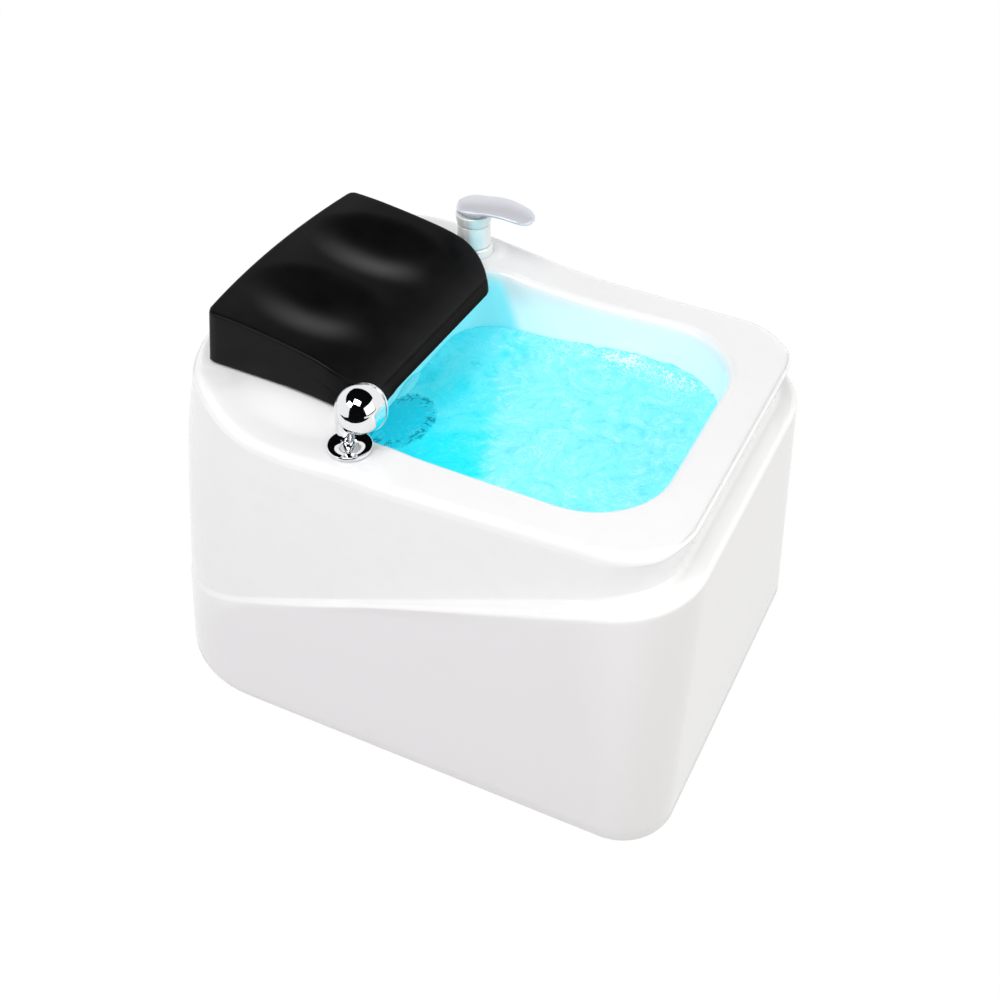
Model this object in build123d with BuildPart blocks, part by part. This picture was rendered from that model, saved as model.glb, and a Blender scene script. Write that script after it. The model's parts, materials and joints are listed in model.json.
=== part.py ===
"""Pedicure spa foot bath with a removable footrest, mixer tap, hand shower and magnetic jet pump."""
from build123d import *
import math
import os

os.makedirs("parts", exist_ok=True)

# ---------------------------------------------------------------- driving dimensions (mm)
# X runs along the tub from the tall footrest end (-X) to the low end (+X), Y across it, Z up.
LENGTH = 700.0                 # footprint along X
HALF_WIDTH = 264.0             # half the footprint across Y
TALL_CORNER = 155.0            # plan corner radius at the tall end
LOW_CORNER = 65.0              # plan corner radius at the low end, at the floor
LEDGE_CORNER = 112.0           # the same corner where the ledge is
RIM_CORNER = 82.0              # the same corner at the rim
CASING_FOOT = 4.0              # casing clears the floor by this much
TALL_LEAN = 0.1022             # the tall end leans in by this much per mm of height
TALL_NARROWING = 0.0666        # and narrows by this much per mm on each side
LOW_LEAN = 0.026               # lean of the casing's low end
LOW_NARROWING = 0.0058
SKIRT_LEAN = 0.0926            # lean of the basin shell's skirt at the low end
SKIRT_NARROWING = 0.088
RIM_HEIGHT = 409.0             # deck height at the low end
RIM_X = 322.0                  # low end of the rim at that height
BODY_TOP = 470.0               # shells are drafted up to this height, then trimmed by the deck
WALL = 5.0                     # acrylic and glass-fibre shells
JOINT_GAP = 0.3                # clearance between separate pieces
RIM_ROUND = 12.0
LEDGE_ROUND = 8.0
FLANGE = 16.0                  # inward flange of the casing under the skirt

# the ledge climbs along the side in a straight ramp and levels out round the low end
LEDGE_LEVEL = 350.0
LEDGE_SLOPE = math.radians(22.2)
LEDGE_EASE = 200.0             # radius of the easing arc
LEDGE_LEVEL_X = 292.0          # where the ledge becomes level

# basin well
WELL_FLOOR = 150.0
WELL_X0 = -93.0                # upright wall with the jet
WELL_X1 = 271.0
WELL_W0 = 163.0                # half width at the jet end, at rim height
WELL_W1 = 177.0
WELL_R0 = 62.0
WELL_R1 = 88.0
WELL_DRAFT = 0.085             # side walls close in by this much per mm going down
WELL_FLOOR_ROUND = 28.0
WELL_LIP_ROUND = 11.0

# footrest on the deck
SEAT_Z = 429.0
PAD_BACK = -258.0
PAD_NOSE = -25.0
PAD_HALF = 154.0               # half width at the seat
PAD_TAPER = 5.6                # degrees that its sides lean in
PEG = (-180.0, 95.0)           # X and Y of the locating pegs
PEG_RADIUS = 6.0

# fittings through the deck: X, Y and the height of their flat spot
MIXER = (-97.0, 184.0, 432.0)
SHOWER = (-54.0, -193.0, 405.0)
FLAT_RADIUS = 27.0
DECK_BOSS = 8.0                # thickness of the deck at the fittings
MIXER_HOLE = 17.0
MIXER_CLAMP = 27.0             # radius of the flat underside at each hole
SHOWER_HOLE = 19.3
SHOWER_CLAMP = 24.6

# fittings in the basin
DRAIN_X = -10.0
DRAIN_HOLE = 25.0
JET_Z = 300.0
JET_HOLE = 38.0
LIGHT = (70.0, 225.0)          # Y and Z of the lamp on the jet wall
LIGHT_HOLE = 12.0

# fittings in the tall end
BUTTON_Z = 300.0
BUTTON_HOLE = 12.3
GLAND_Z = 70.0
GLAND_HOLE = 8.3

# base frame and feet
TUBE = 25.0
TUBE_WALL = 2.0
FRAME_Z = 24.0
RAIL_Y = 215.0
CROSS_X = (-230.0, 60.0, 230.0)
FEET = [(x, y) for x in (-230.0, 230.0) for y in (-170.0, 170.0)]
FOOT_RADIUS = 20.0
STEM_RADIUS = 5.0


def save(piece, name):
    """Label a finished piece and write it as its own STEP file."""
    piece.part.label = name
    export_step(piece.part, f"parts/{name}.step")


def plan(x0, x1, w0, w1, r0, r1):
    """Rounded trapezoid, half width w0 at x0 and w1 at x1, with its own corner radius at each end."""
    with BuildSketch(mode=Mode.PRIVATE) as outline:
        Polygon((x0, -w0), (x1, -w1), (x1, w1), (x0, w0), align=None)
        fillet(outline.vertices().group_by(Axis.X)[0], r0)
        fillet(outline.vertices().group_by(Axis.X)[-1], r1)
    return outline.sketch


def casing_plan(z, inset):
    """Outline of the lower casing at height z, moved in by inset."""
    x0 = -LENGTH / 2 + TALL_LEAN * z + inset
    x1 = LENGTH / 2 - LOW_LEAN * z - inset
    w0 = HALF_WIDTH - TALL_NARROWING * z - inset
    w1 = HALF_WIDTH - LOW_NARROWING * z - inset
    low_corner = LOW_CORNER + (LEDGE_CORNER - LOW_CORNER) * z / LEDGE_LEVEL
    return plan(x0, x1, w0, w1, TALL_CORNER - inset, low_corner - inset)


def skirt_plan(z, inset):
    """Outline of the basin shell's skirt and rim at height z, moved in by inset."""
    x0 = -LENGTH / 2 + TALL_LEAN * z + inset
    x1 = RIM_X + SKIRT_LEAN * (RIM_HEIGHT - z) - inset
    w0 = HALF_WIDTH - TALL_NARROWING * z - inset
    w1 = HALF_WIDTH - SKIRT_NARROWING * z - inset
    low_corner = RIM_CORNER + (LEDGE_CORNER - RIM_CORNER) * (RIM_HEIGHT - z) / RIM_HEIGHT
    return plan(x0, x1, w0, w1, TALL_CORNER - inset, low_corner - inset)


def well_plan(z, grow):
    """Outline of the basin well at height z, moved out by grow."""
    drop = WELL_DRAFT * (RIM_HEIGHT - z)
    x1 = WELL_X1 - drop + grow
    w0 = WELL_W0 - drop + grow
    w1 = WELL_W1 - drop + grow
    return plan(WELL_X0 - grow, x1, w0, w1, WELL_R0 - drop / 2 + grow, WELL_R1 - drop / 2 + grow)


def tall_end_plane(z):
    """Plane on the outside of the leaning tall end at height z, facing out."""
    return Plane(origin=(-LENGTH / 2 + TALL_LEAN * z, 0, z), x_dir=(0, 1, 0), z_dir=(-1, 0, TALL_LEAN))


def jet_wall_plane(y, z):
    """Plane on the wet side of the upright basin wall, facing the basin."""
    return Plane(origin=(WELL_X0, y, z), x_dir=(0, 1, 0), z_dir=(1, 0, 0))


def disc(plane, radius, start, end, bore=0.0):
    """Cylinder or ring along a plane's normal, from start to end."""
    with BuildPart(mode=Mode.PRIVATE) as block:
        with BuildSketch(plane.offset(start)):
            Circle(radius)
            if bore:
                Circle(bore, mode=Mode.SUBTRACT)
        extrude(amount=end - start)
    return block.part


def drafted(outline, z0, z1, inset):
    """Solid between the outline at z0 and at z1."""
    with BuildPart(mode=Mode.PRIVATE) as block:
        for z in (z0, z1):
            with BuildSketch(Plane.XY.offset(z)):
                add(outline(z, inset))
        loft(ruled=True)
    return block.part


def under_ledge(drop):
    """Everything below the ledge's climbing surface, lowered by drop."""
    ease_run = LEDGE_EASE * math.sin(LEDGE_SLOPE)
    ease_rise = LEDGE_EASE * (1 - math.cos(LEDGE_SLOPE))
    ease_x = LEDGE_LEVEL_X - ease_run
    ease_z = LEDGE_LEVEL - ease_rise - drop
    reach = 420.0
    low_z = ease_z - (ease_x + reach) * math.tan(LEDGE_SLOPE)
    with BuildPart(mode=Mode.PRIVATE) as block:
        with BuildSketch(Plane.XZ):
            with BuildLine():
                Line((-reach, low_z), (ease_x, ease_z))
                JernArc((ease_x, ease_z), (math.cos(LEDGE_SLOPE), math.sin(LEDGE_SLOPE)), LEDGE_EASE,
                        -math.degrees(LEDGE_SLOPE))
                Polyline((LEDGE_LEVEL_X, LEDGE_LEVEL - drop), (reach, LEDGE_LEVEL - drop),
                         (reach, -reach), (-reach, -reach), (-reach, low_z))
            make_face()
        extrude(amount=reach, both=True)
    return block.part


# deck heights along X at the two rims and at the two long sides of the footrest's seat;
# the near rim (-Y) dips for the hand shower
DECK_STATIONS = (-340, -302, -274, -250, -225, -190, -150, -110, -60, -10, 50, 110, 200, 360)
NEAR_RIM = (458, 450, 446, 443, 437, 421, 409, 405, 405, 405, 406, 407, 409, 409)
NEAR_SEAT = (458, 446, 431, 427.5, 427.5, 427.5, 426.5, 423, 412, 407, 406, 407, 409, 409)
FAR_SEAT = (458, 446, 431, 427.5, 427.5, 427.5, 427.5, 427, 424, 417, 411, 409, 409, 409)
FAR_RIM = (458, 450, 446, 444, 442, 440, 438, 434, 427, 419, 412, 410, 409, 409)
DECK_SPACING = 40.0            # between the deck's section lines across Y
SEAT_EDGE = 160.0


def deck_heights(y):
    """Deck heights at the stations for the line at y."""
    if y < -SEAT_EDGE:
        return NEAR_RIM
    if y > SEAT_EDGE:
        return FAR_RIM
    share = (y + SEAT_EDGE) / (2 * SEAT_EDGE)
    return [near + (far - near) * share for near, far in zip(NEAR_SEAT, FAR_SEAT)]


def under_deck(drop):
    """Everything below the deck surface, lowered by drop."""
    with BuildPart(mode=Mode.PRIVATE) as block:
        for step in range(-7, 8):
            y = step * DECK_SPACING
            with BuildSketch(Plane.XZ.offset(-y)):
                with BuildLine():
                    crest = Spline(*[(x, z - drop) for x, z in zip(DECK_STATIONS, deck_heights(y))])
                    Polyline(crest @ 1, (DECK_STATIONS[-1], -60), (DECK_STATIONS[0], -60), crest @ 0)
                make_face()
        loft()
    return block.part


# ---------------------------------------------------------------- shells
MIXER_PLANE = Plane.XY.move(Location((MIXER[0], MIXER[1], 0)))
SHOWER_PLANE = Plane.XY.move(Location((SHOWER[0], SHOWER[1], 0)))
DRAIN_PLANE = Plane.XY.move(Location((DRAIN_X, 0, 0)))
JET_PLANE = jet_wall_plane(0, JET_Z)
LIGHT_PLANE = jet_wall_plane(*LIGHT)
BUTTON_PLANE = tall_end_plane(BUTTON_Z)
GLAND_PLANE = tall_end_plane(GLAND_Z)
DECK_FITTINGS = (
    (MIXER_PLANE, MIXER[2], MIXER_HOLE, MIXER_CLAMP),
    (SHOWER_PLANE, SHOWER[2], SHOWER_HOLE, SHOWER_CLAMP),
)
PEG_PLANES = [Plane.XY.move(Location((PEG[0], side * PEG[1], 0))) for side in (-1, 1)]

with BuildPart() as outer_casing:
    add(drafted(casing_plan, CASING_FOOT, BODY_TOP, 0))
    add(under_ledge(0), mode=Mode.INTERSECT)
    ledge_faces = outer_casing.faces().filter_by(lambda face: face.normal_at().Z > 0.9)
    ledge_edges = [
        edge for edge in outer_casing.edges()
        if sum(edge in face.edges() for face in ledge_faces) == 1
    ]
    fillet(ledge_edges, LEDGE_ROUND)
    with BuildPart(mode=Mode.PRIVATE) as casing_hollow:
        add(drafted(casing_plan, CASING_FOOT, BODY_TOP, WALL))
        add(under_ledge(WALL), mode=Mode.INTERSECT)
    add(casing_hollow.part, mode=Mode.SUBTRACT)
    add(drafted(skirt_plan, CASING_FOOT, BODY_TOP, FLANGE), mode=Mode.SUBTRACT)
    add(disc(GLAND_PLANE, GLAND_HOLE, -3 * WALL, WALL), mode=Mode.SUBTRACT)
save(outer_casing, "outer_casing")

well_block = drafted(well_plan, WELL_FLOOR - WALL, BODY_TOP, WALL)

with BuildPart() as well_hollow:
    add(drafted(well_plan, WELL_FLOOR, BODY_TOP, 0))
    fillet(well_hollow.faces().sort_by(Axis.Z)[0].edges(), WELL_FLOOR_ROUND)

with BuildPart() as shell_hollow:
    add(drafted(skirt_plan, CASING_FOOT, BODY_TOP, WALL))
    add(under_deck(WALL), mode=Mode.INTERSECT)
    add(well_block, mode=Mode.SUBTRACT)

with BuildPart() as basin_shell:
    add(drafted(skirt_plan, CASING_FOOT, BODY_TOP, 0))
    add(under_ledge(-JOINT_GAP), mode=Mode.SUBTRACT)
    add(well_block)
    add(under_deck(0), mode=Mode.INTERSECT)
    fillet(basin_shell.faces().sort_by(Axis.Z)[-1].outer_wire().edges(), RIM_ROUND)
    add(shell_hollow.part, mode=Mode.SUBTRACT)
    add(well_hollow.part, mode=Mode.SUBTRACT)
    deck = basin_shell.faces().sort_by(SortBy.AREA)[-2:].sort_by(Axis.Z)[-1]
    fillet(deck.inner_wires().sort_by(SortBy.LENGTH)[-1].edges(), WELL_LIP_ROUND)
    for plane, z, hole, under in DECK_FITTINGS:
        add(disc(plane, FLAT_RADIUS, z - DECK_BOSS, z))
        add(disc(plane, FLAT_RADIUS, z, z + DECK_BOSS), mode=Mode.SUBTRACT)
        add(disc(plane, under, z - 2 * DECK_BOSS, z - DECK_BOSS), mode=Mode.SUBTRACT)
        add(disc(plane, hole, z - 2 * DECK_BOSS, z + DECK_BOSS), mode=Mode.SUBTRACT)
    for plane in PEG_PLANES:
        add(disc(plane, PEG_RADIUS + 3, SEAT_Z - 3 * WALL, SEAT_Z), mode=Mode.SUBTRACT)
    add(disc(DRAIN_PLANE, DRAIN_HOLE, WELL_FLOOR - 2 * WALL, WELL_FLOOR + WALL), mode=Mode.SUBTRACT)
    add(disc(JET_PLANE, JET_HOLE, -2 * WALL, WALL), mode=Mode.SUBTRACT)
    add(disc(LIGHT_PLANE, LIGHT_HOLE, -2 * WALL, WALL), mode=Mode.SUBTRACT)
    add(disc(BUTTON_PLANE, BUTTON_HOLE, -2 * WALL, WALL), mode=Mode.SUBTRACT)
save(basin_shell, "basin_shell")


# ---------------------------------------------------------------- base frame, supports and feet
def square_tube(length):
    """Square tube section run, centred, along the local Z."""
    with BuildPart(mode=Mode.PRIVATE) as block:
        with BuildSketch():
            Rectangle(TUBE, TUBE)
            Rectangle(TUBE - 2 * TUBE_WALL, TUBE - 2 * TUBE_WALL, mode=Mode.SUBTRACT)
        extrude(amount=length / 2, both=True)
    return block.part


def casing_inside(x, z):
    """Inner half width of the casing at x and z, between its corners."""
    x0 = -LENGTH / 2 + TALL_LEAN * z
    x1 = LENGTH / 2 - LOW_LEAN * z
    w0 = HALF_WIDTH - TALL_NARROWING * z
    w1 = HALF_WIDTH - LOW_NARROWING * z
    return w0 + (w1 - w0) * (x - x0) / (x1 - x0) - WALL


FRAME_MID = FRAME_Z + TUBE / 2
FRAME_TOP = FRAME_Z + TUBE
RAIL_X0 = CROSS_X[0] - TUBE / 2
RAIL_X1 = CROSS_X[-1] + TUBE / 2
TAB_X = (-120.0, 200.0)        # tabs that hold the casing
TAB_LENGTH = 40.0
TAB_THICKNESS = 3.0

with BuildPart() as base_frame:
    for side in (-1, 1):
        with Locations(Location(((RAIL_X0 + RAIL_X1) / 2, side * RAIL_Y, FRAME_MID), (0, 90, 0))):
            add(square_tube(RAIL_X1 - RAIL_X0))
    for x in CROSS_X:
        with Locations(Location((x, 0, FRAME_MID), (90, 0, 0))):
            add(square_tube(2 * RAIL_Y - TUBE))
    for x in TAB_X:
        reach = casing_inside(x - TAB_LENGTH / 2, FRAME_TOP) - JOINT_GAP
        root = RAIL_Y + TUBE / 2
        for side in (-1, 1):
            with Locations((x, side * (root + reach) / 2, FRAME_Z + TAB_THICKNESS / 2)):
                Box(TAB_LENGTH, reach - root, TAB_THICKNESS)
            with Locations((x, side * (reach - TAB_THICKNESS / 2), FRAME_MID)):
                Box(TAB_LENGTH, TAB_THICKNESS, TUBE)
    with Locations(*[(x, y, FRAME_Z) for x, y in FEET]):
        Hole(STEM_RADIUS + 0.4)
save(base_frame, "base_frame")

SUPPORT_Y = 85.0
SUPPORT_POST = 30.0
SUPPORT_PLATE = (180.0, 50.0, 5.0)
support_top = WELL_FLOOR - WALL - JOINT_GAP
support_bottom = FRAME_TOP + JOINT_GAP
for number, side in enumerate((-1, 1), start=1):
    with BuildPart() as basin_support:
        with BuildSketch(Plane.XY.offset(support_bottom)):
            with Locations((CROSS_X[1], side * SUPPORT_Y)):
                Rectangle(SUPPORT_POST, SUPPORT_POST)
                Rectangle(SUPPORT_POST - 6, SUPPORT_POST - 6, mode=Mode.SUBTRACT)
        extrude(amount=support_top - support_bottom - SUPPORT_PLATE[2] / 2)
        with BuildSketch(Plane.XY.offset(support_top - SUPPORT_PLATE[2])):
            with Locations((CROSS_X[1] + 10, side * SUPPORT_Y)):
                RectangleRounded(SUPPORT_PLATE[0], SUPPORT_PLATE[1], 6)
        extrude(amount=SUPPORT_PLATE[2])
    save(basin_support, f"basin_support_{number}")

FOOT_HEIGHT = 9.0
LOCKNUT_HEIGHT = 7.0
for number, (x, y) in enumerate(FEET, start=1):
    foot = Plane.XY.move(Location((x, y, 0)))
    with BuildPart() as foot_pad:
        add(disc(foot, FOOT_RADIUS, 0, FOOT_HEIGHT))
        chamfer(foot_pad.faces().sort_by(Axis.Z)[-1].edges(), 3)
    save(foot_pad, f"foot_pad_{number}")
    with BuildPart() as foot_stem:
        add(disc(foot, STEM_RADIUS, FOOT_HEIGHT, FRAME_TOP + 12))
        with BuildSketch(foot.offset(FOOT_HEIGHT)):
            RegularPolygon(8, 6)
        extrude(amount=5)
    save(foot_stem, f"foot_stem_{number}")
    with BuildPart() as foot_locknut:
        with BuildSketch(foot.offset(FRAME_Z - JOINT_GAP - LOCKNUT_HEIGHT)):
            RegularPolygon(9.5, 6)
            Circle(STEM_RADIUS + 0.1, mode=Mode.SUBTRACT)
        extrude(amount=LOCKNUT_HEIGHT)
    save(foot_locknut, f"foot_locknut_{number}")

# ---------------------------------------------------------------- footrest
BOARD = (-240.0, -100.0, 130.0, 6.0)   # X start, X end, half width, thickness
PAD_TOP_BACK = 493.0
HOLLOW = (-160.0, 68.0)                # centre of each foot hollow
HOLLOW_AXES = (100.0, 62.0, 40.0)
HOLLOW_DEPTH = 10.0
HOLLOW_TILT = 13.0                     # degrees, following the falling top
hollow_height = 479.0 + HOLLOW_AXES[2] - HOLLOW_DEPTH

with BuildPart() as footrest_pad:
    with BuildSketch(Plane.XZ):
        with BuildLine():
            back = Line((PAD_BACK, SEAT_Z), (PAD_BACK + 6, PAD_TOP_BACK))
            top = Spline(back @ 1, (-165, 479.5), (-90, 461), (-48, 448.5),
                         tangents=((1, -0.08), (1, -0.42)))
            nose = Spline(top @ 1, (PAD_NOSE, SEAT_Z + 8), (PAD_NOSE - 14, SEAT_Z),
                          tangents=((1, -0.42), (-1, -0.1)))
            Line(nose @ 1, back @ 0)
        make_face()
    extrude(amount=PAD_HALF, both=True)
    with BuildPart(mode=Mode.PRIVATE) as pad_plan:
        with BuildSketch(Plane.XY.offset(SEAT_Z)):
            add(plan(PAD_BACK, PAD_NOSE + 6, PAD_HALF, PAD_HALF - 3, 8, 38))
        extrude(amount=80, taper=PAD_TAPER)
    add(pad_plan.part, mode=Mode.INTERSECT)
    for side in (-1, 1):
        dish = scale(Sphere(1, mode=Mode.PRIVATE), by=HOLLOW_AXES, mode=Mode.PRIVATE)
        place = Location((HOLLOW[0], side * HOLLOW[1], hollow_height), (0, HOLLOW_TILT, 0))
        add(place * dish, mode=Mode.SUBTRACT)
    with Locations(((BOARD[0] + BOARD[1]) / 2, 0, SEAT_Z + (BOARD[3] + JOINT_GAP) / 2)):
        Box(BOARD[1] - BOARD[0] + 2 * JOINT_GAP, 2 * (BOARD[2] + JOINT_GAP), BOARD[3] + JOINT_GAP,
            mode=Mode.SUBTRACT)
save(footrest_pad, "footrest_pad")

with BuildPart() as footrest_base:
    with Locations(((BOARD[0] + BOARD[1]) / 2, 0, SEAT_Z + BOARD[3] / 2)):
        Box(BOARD[1] - BOARD[0], 2 * BOARD[2], BOARD[3])
    for plane in PEG_PLANES:
        add(disc(plane, PEG_RADIUS, SEAT_Z - 24, SEAT_Z + 1))
    chamfer(footrest_base.faces().sort_by(Axis.Z)[:2].edges(), 1.5)
save(footrest_base, "footrest_base")

deck_underside = SEAT_Z - 2 * JOINT_GAP - WALL - 2
for number, plane in enumerate(PEG_PLANES, start=1):
    with BuildPart() as peg_grommet:
        add(disc(plane, PEG_RADIUS + 2.7, deck_underside, SEAT_Z - 3, PEG_RADIUS + JOINT_GAP))
        add(disc(plane, PEG_RADIUS + 6, deck_underside - 3, deck_underside, PEG_RADIUS + JOINT_GAP))
    save(peg_grommet, f"peg_grommet_{number}")


# ---------------------------------------------------------------- mixer tap
def turned(plane, outline):
    """Solid turned about a plane's normal from (radius, height) corners."""
    section = Plane(origin=plane.origin, x_dir=plane.x_dir, z_dir=-plane.y_dir)
    with BuildPart(mode=Mode.PRIVATE) as block:
        with BuildSketch(section):
            with BuildLine():
                Polyline(*outline, close=True)
            make_face()
        revolve(axis=Axis(plane.origin, plane.z_dir))
    return block.part


TAP_R = 21.0
SHANK_R = 16.5
SHANK_BORE = 12.6
mixer_z = MIXER[2]
ring_top = mixer_z + 15
body_top = mixer_z + 55
cartridge_top = body_top - 7
cap_top = body_top + 13.5
lever_z = body_top + 15.3

with BuildPart() as mixer_base_ring:
    add(disc(MIXER_PLANE, TAP_R + 2, mixer_z + JOINT_GAP, ring_top, SHANK_R + JOINT_GAP))
    chamfer(mixer_base_ring.faces().sort_by(Axis.Z)[-1].outer_wire().edges(), 1.8)
save(mixer_base_ring, "mixer_base_ring")

with BuildPart() as mixer_body:
    add(disc(MIXER_PLANE, TAP_R, ring_top + JOINT_GAP, body_top))
    add(disc(MIXER_PLANE, SHANK_R, mixer_z - 27, ring_top + 1))
    add(disc(MIXER_PLANE, SHANK_BORE, mixer_z - 27, ring_top), mode=Mode.SUBTRACT)
    add(disc(MIXER_PLANE, TAP_R - 3.6, ring_top + 10, body_top), mode=Mode.SUBTRACT)
save(mixer_body, "mixer_body")

washer_top = mixer_z - DECK_BOSS - JOINT_GAP
with BuildPart() as mixer_washer:
    add(disc(MIXER_PLANE, 26, washer_top - 3.5, washer_top, SHANK_R + JOINT_GAP))
save(mixer_washer, "mixer_washer")

with BuildPart() as mixer_nut:
    with BuildSketch(MIXER_PLANE.offset(washer_top - 3.5 - JOINT_GAP - 9)):
        RegularPolygon(25, 6)
        Circle(SHANK_R + 0.1, mode=Mode.SUBTRACT)
    extrude(amount=9)
save(mixer_nut, "mixer_nut")

with BuildPart() as mixer_cartridge:
    add(disc(MIXER_PLANE, TAP_R - 3.9, ring_top + 10 + JOINT_GAP, cartridge_top))
save(mixer_cartridge, "mixer_cartridge")

CAP_BORE = 12.4
CAP_MOUTH = 10.6
with BuildPart() as mixer_cap:
    dome_edge = body_top + 7.5
    section = Plane(origin=(MIXER[0], MIXER[1], 0), x_dir=(1, 0, 0), z_dir=(0, -1, 0))
    with BuildSketch(section):
        with BuildLine():
            rise = Polyline((CAP_BORE, cartridge_top + JOINT_GAP), (TAP_R - 3.9, cartridge_top + JOINT_GAP),
                            (TAP_R - 3.9, body_top + JOINT_GAP), (TAP_R, body_top + JOINT_GAP),
                            (TAP_R, dome_edge))
            dome = RadiusArc(rise @ 1, (CAP_MOUTH, cap_top - 1.2), -34)
            Polyline(dome @ 1, (CAP_MOUTH, body_top + 6), (CAP_BORE, body_top + 5), rise @ 0)
        make_face()
    revolve(axis=Axis((MIXER[0], MIXER[1], 0), (0, 0, 1)))
save(mixer_cap, "mixer_cap")

turret_z = cartridge_top + JOINT_GAP
PIN_R = 1.5
with BuildPart() as lever_turret:
    add(disc(MIXER_PLANE, 11.5, turret_z, turret_z + 1.8))
    for side in (-1, 1):
        with Locations((MIXER[0], MIXER[1] + side * 6.6, (turret_z + body_top + 3.5) / 2)):
            Box(8, 3, body_top + 3.5 - turret_z)
    add(disc(Plane(origin=(MIXER[0], MIXER[1], body_top), z_dir=(0, 1, 0)), PIN_R, -6, 6))
save(lever_turret, "lever_turret")

STEM_R = 4.0
stem_top = lever_z + 5
with BuildPart() as lever_stem:
    add(disc(MIXER_PLANE, STEM_R, body_top - 3, stem_top))
    add(disc(Plane(origin=(MIXER[0], MIXER[1], body_top), z_dir=(0, 1, 0)), PIN_R + 0.05, -8, 8),
        mode=Mode.SUBTRACT)
save(lever_stem, "lever_stem")

LEVER_BACK = 22.0
LEVER_REACH = 80.0
LEVER_ROOT = 19.0              # half width over the tap
LEVER_TIP = 11.0
with BuildPart() as lever_handle:
    with BuildSketch(Plane.XY.offset(lever_z - 20)):
        with BuildLine():
            heel = ThreePointArc((MIXER[0], MIXER[1] + LEVER_ROOT), (MIXER[0] - LEVER_BACK, MIXER[1]),
                                 (MIXER[0], MIXER[1] - LEVER_ROOT))
            tip = ThreePointArc((MIXER[0] + LEVER_REACH - 8, MIXER[1] - LEVER_TIP),
                                (MIXER[0] + LEVER_REACH, MIXER[1]),
                                (MIXER[0] + LEVER_REACH - 8, MIXER[1] + LEVER_TIP))
            Line(heel @ 1, tip @ 0)
            Line(tip @ 1, heel @ 0)
        make_face()
    extrude(amount=40)
    with BuildPart(mode=Mode.PRIVATE) as leaf:
        with BuildSketch(Plane.XZ.offset(-MIXER[1])):
            with BuildLine():
                under = Polyline((MIXER[0] + LEVER_REACH + 2, lever_z - 4.5), (MIXER[0] + 30, lever_z),
                                 (MIXER[0] - LEVER_BACK - 2, lever_z), (MIXER[0] - LEVER_BACK - 2, lever_z + 5))
                crown = ThreePointArc(under @ 1, (MIXER[0] + 25, lever_z + 7.5),
                                      (MIXER[0] + LEVER_REACH + 2, lever_z - 0.5))
                Line(crown @ 1, under @ 0)
            make_face()
        extrude(amount=LEVER_ROOT + 2, both=True)
    add(leaf.part, mode=Mode.INTERSECT)
    add(disc(MIXER_PLANE, STEM_R + 0.05, lever_z - 1, stem_top + 0.3), mode=Mode.SUBTRACT)
save(lever_handle, "lever_handle")

PIPE_R = 4.0
PIPE_RING = 7.0
PIPE_BORE = 3.0
PIPES = (("hot_pipe", 90, 170), ("cold_pipe", 210, 170), ("mixed_pipe", 330, 120))
for name, angle, length in PIPES:
    x = MIXER[0] + PIPE_RING * math.cos(math.radians(angle))
    y = MIXER[1] + PIPE_RING * math.sin(math.radians(angle))
    pipe_plane = Plane.XY.move(Location((x, y, 0)))
    with BuildPart() as pipe:
        add(disc(pipe_plane, PIPE_R, ring_top - length, ring_top - 0.2, PIPE_BORE))
    save(pipe, name)

# ---------------------------------------------------------------- hand shower
holder_z = SHOWER[2]
socket_floor = holder_z - 34
HOLDER_R = 26.3
SLEEVE_R = 18.8
NECK_R = 10.5
SOCKET_R = NECK_R + JOINT_GAP
SOCKET_LIP = 8.5               # hose passage under the socket
HEAD = Plane(origin=(SHOWER[0] + 7, SHOWER[1] + 6, holder_z + 63), x_dir=(1, 0, 0), z_dir=(0.1, 0.92, -0.38))
HEAD_R = 26.5
HEAD_BACK = 22.0

with BuildPart() as holder_gasket:
    add(disc(SHOWER_PLANE, HOLDER_R - 0.5, holder_z + 0.1, holder_z + 1.3, SLEEVE_R + JOINT_GAP))
save(holder_gasket, "holder_gasket")

with BuildPart() as shower_holder:
    flange_z = holder_z + 1.5
    add(turned(SHOWER_PLANE, [
        (SOCKET_LIP, holder_z - 40), (SLEEVE_R, holder_z - 40), (SLEEVE_R, flange_z), (HOLDER_R, flange_z),
        (HOLDER_R - 1, flange_z + 2.5), (22.5, flange_z + 3.5), (21, flange_z + 6), (19.5, flange_z + 6),
        (SOCKET_R, holder_z - 8), (SOCKET_R, socket_floor), (SOCKET_LIP, socket_floor),
    ]))
save(shower_holder, "shower_holder")

nut_top = holder_z - DECK_BOSS - JOINT_GAP
with BuildPart() as holder_nut:
    with BuildSketch(SHOWER_PLANE.offset(nut_top - 9)):
        RegularPolygon(SHOWER_CLAMP - 0.6, 6)
        Circle(SLEEVE_R + 0.1, mode=Mode.SUBTRACT)
    extrude(amount=9)
save(holder_nut, "holder_nut")

neck_base = holder_z - 15
with BuildPart() as shower_body:
    add(turned(SHOWER_PLANE, [
        (0, neck_base), (NECK_R, neck_base), (NECK_R, holder_z + 20), (13, holder_z + 38), (15, holder_z + 52),
        (0, holder_z + 58),
    ]))
    with BuildPart(mode=Mode.PRIVATE) as bulb:
        with BuildSketch(Plane(origin=HEAD.origin, x_dir=HEAD.x_dir, z_dir=-HEAD.y_dir)):
            with BuildLine():
                spine = Line((0, -HEAD_BACK), (0, 14))
                rim = Line((0, 14), (HEAD_R, 14))
                side_line = Line((HEAD_R, 14), (HEAD_R + 0.5, 4))
                Spline(side_line @ 1, (HEAD_R - 4, -12), (0, -HEAD_BACK), tangents=((0, -1), (-1, 0)))
            make_face()
        revolve(axis=Axis(HEAD.origin, HEAD.z_dir))
    add(bulb.part)
    add(disc(HEAD, 2 * HEAD_R, 14, 4 * HEAD_R), mode=Mode.SUBTRACT)
save(shower_body, "shower_body")

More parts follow.
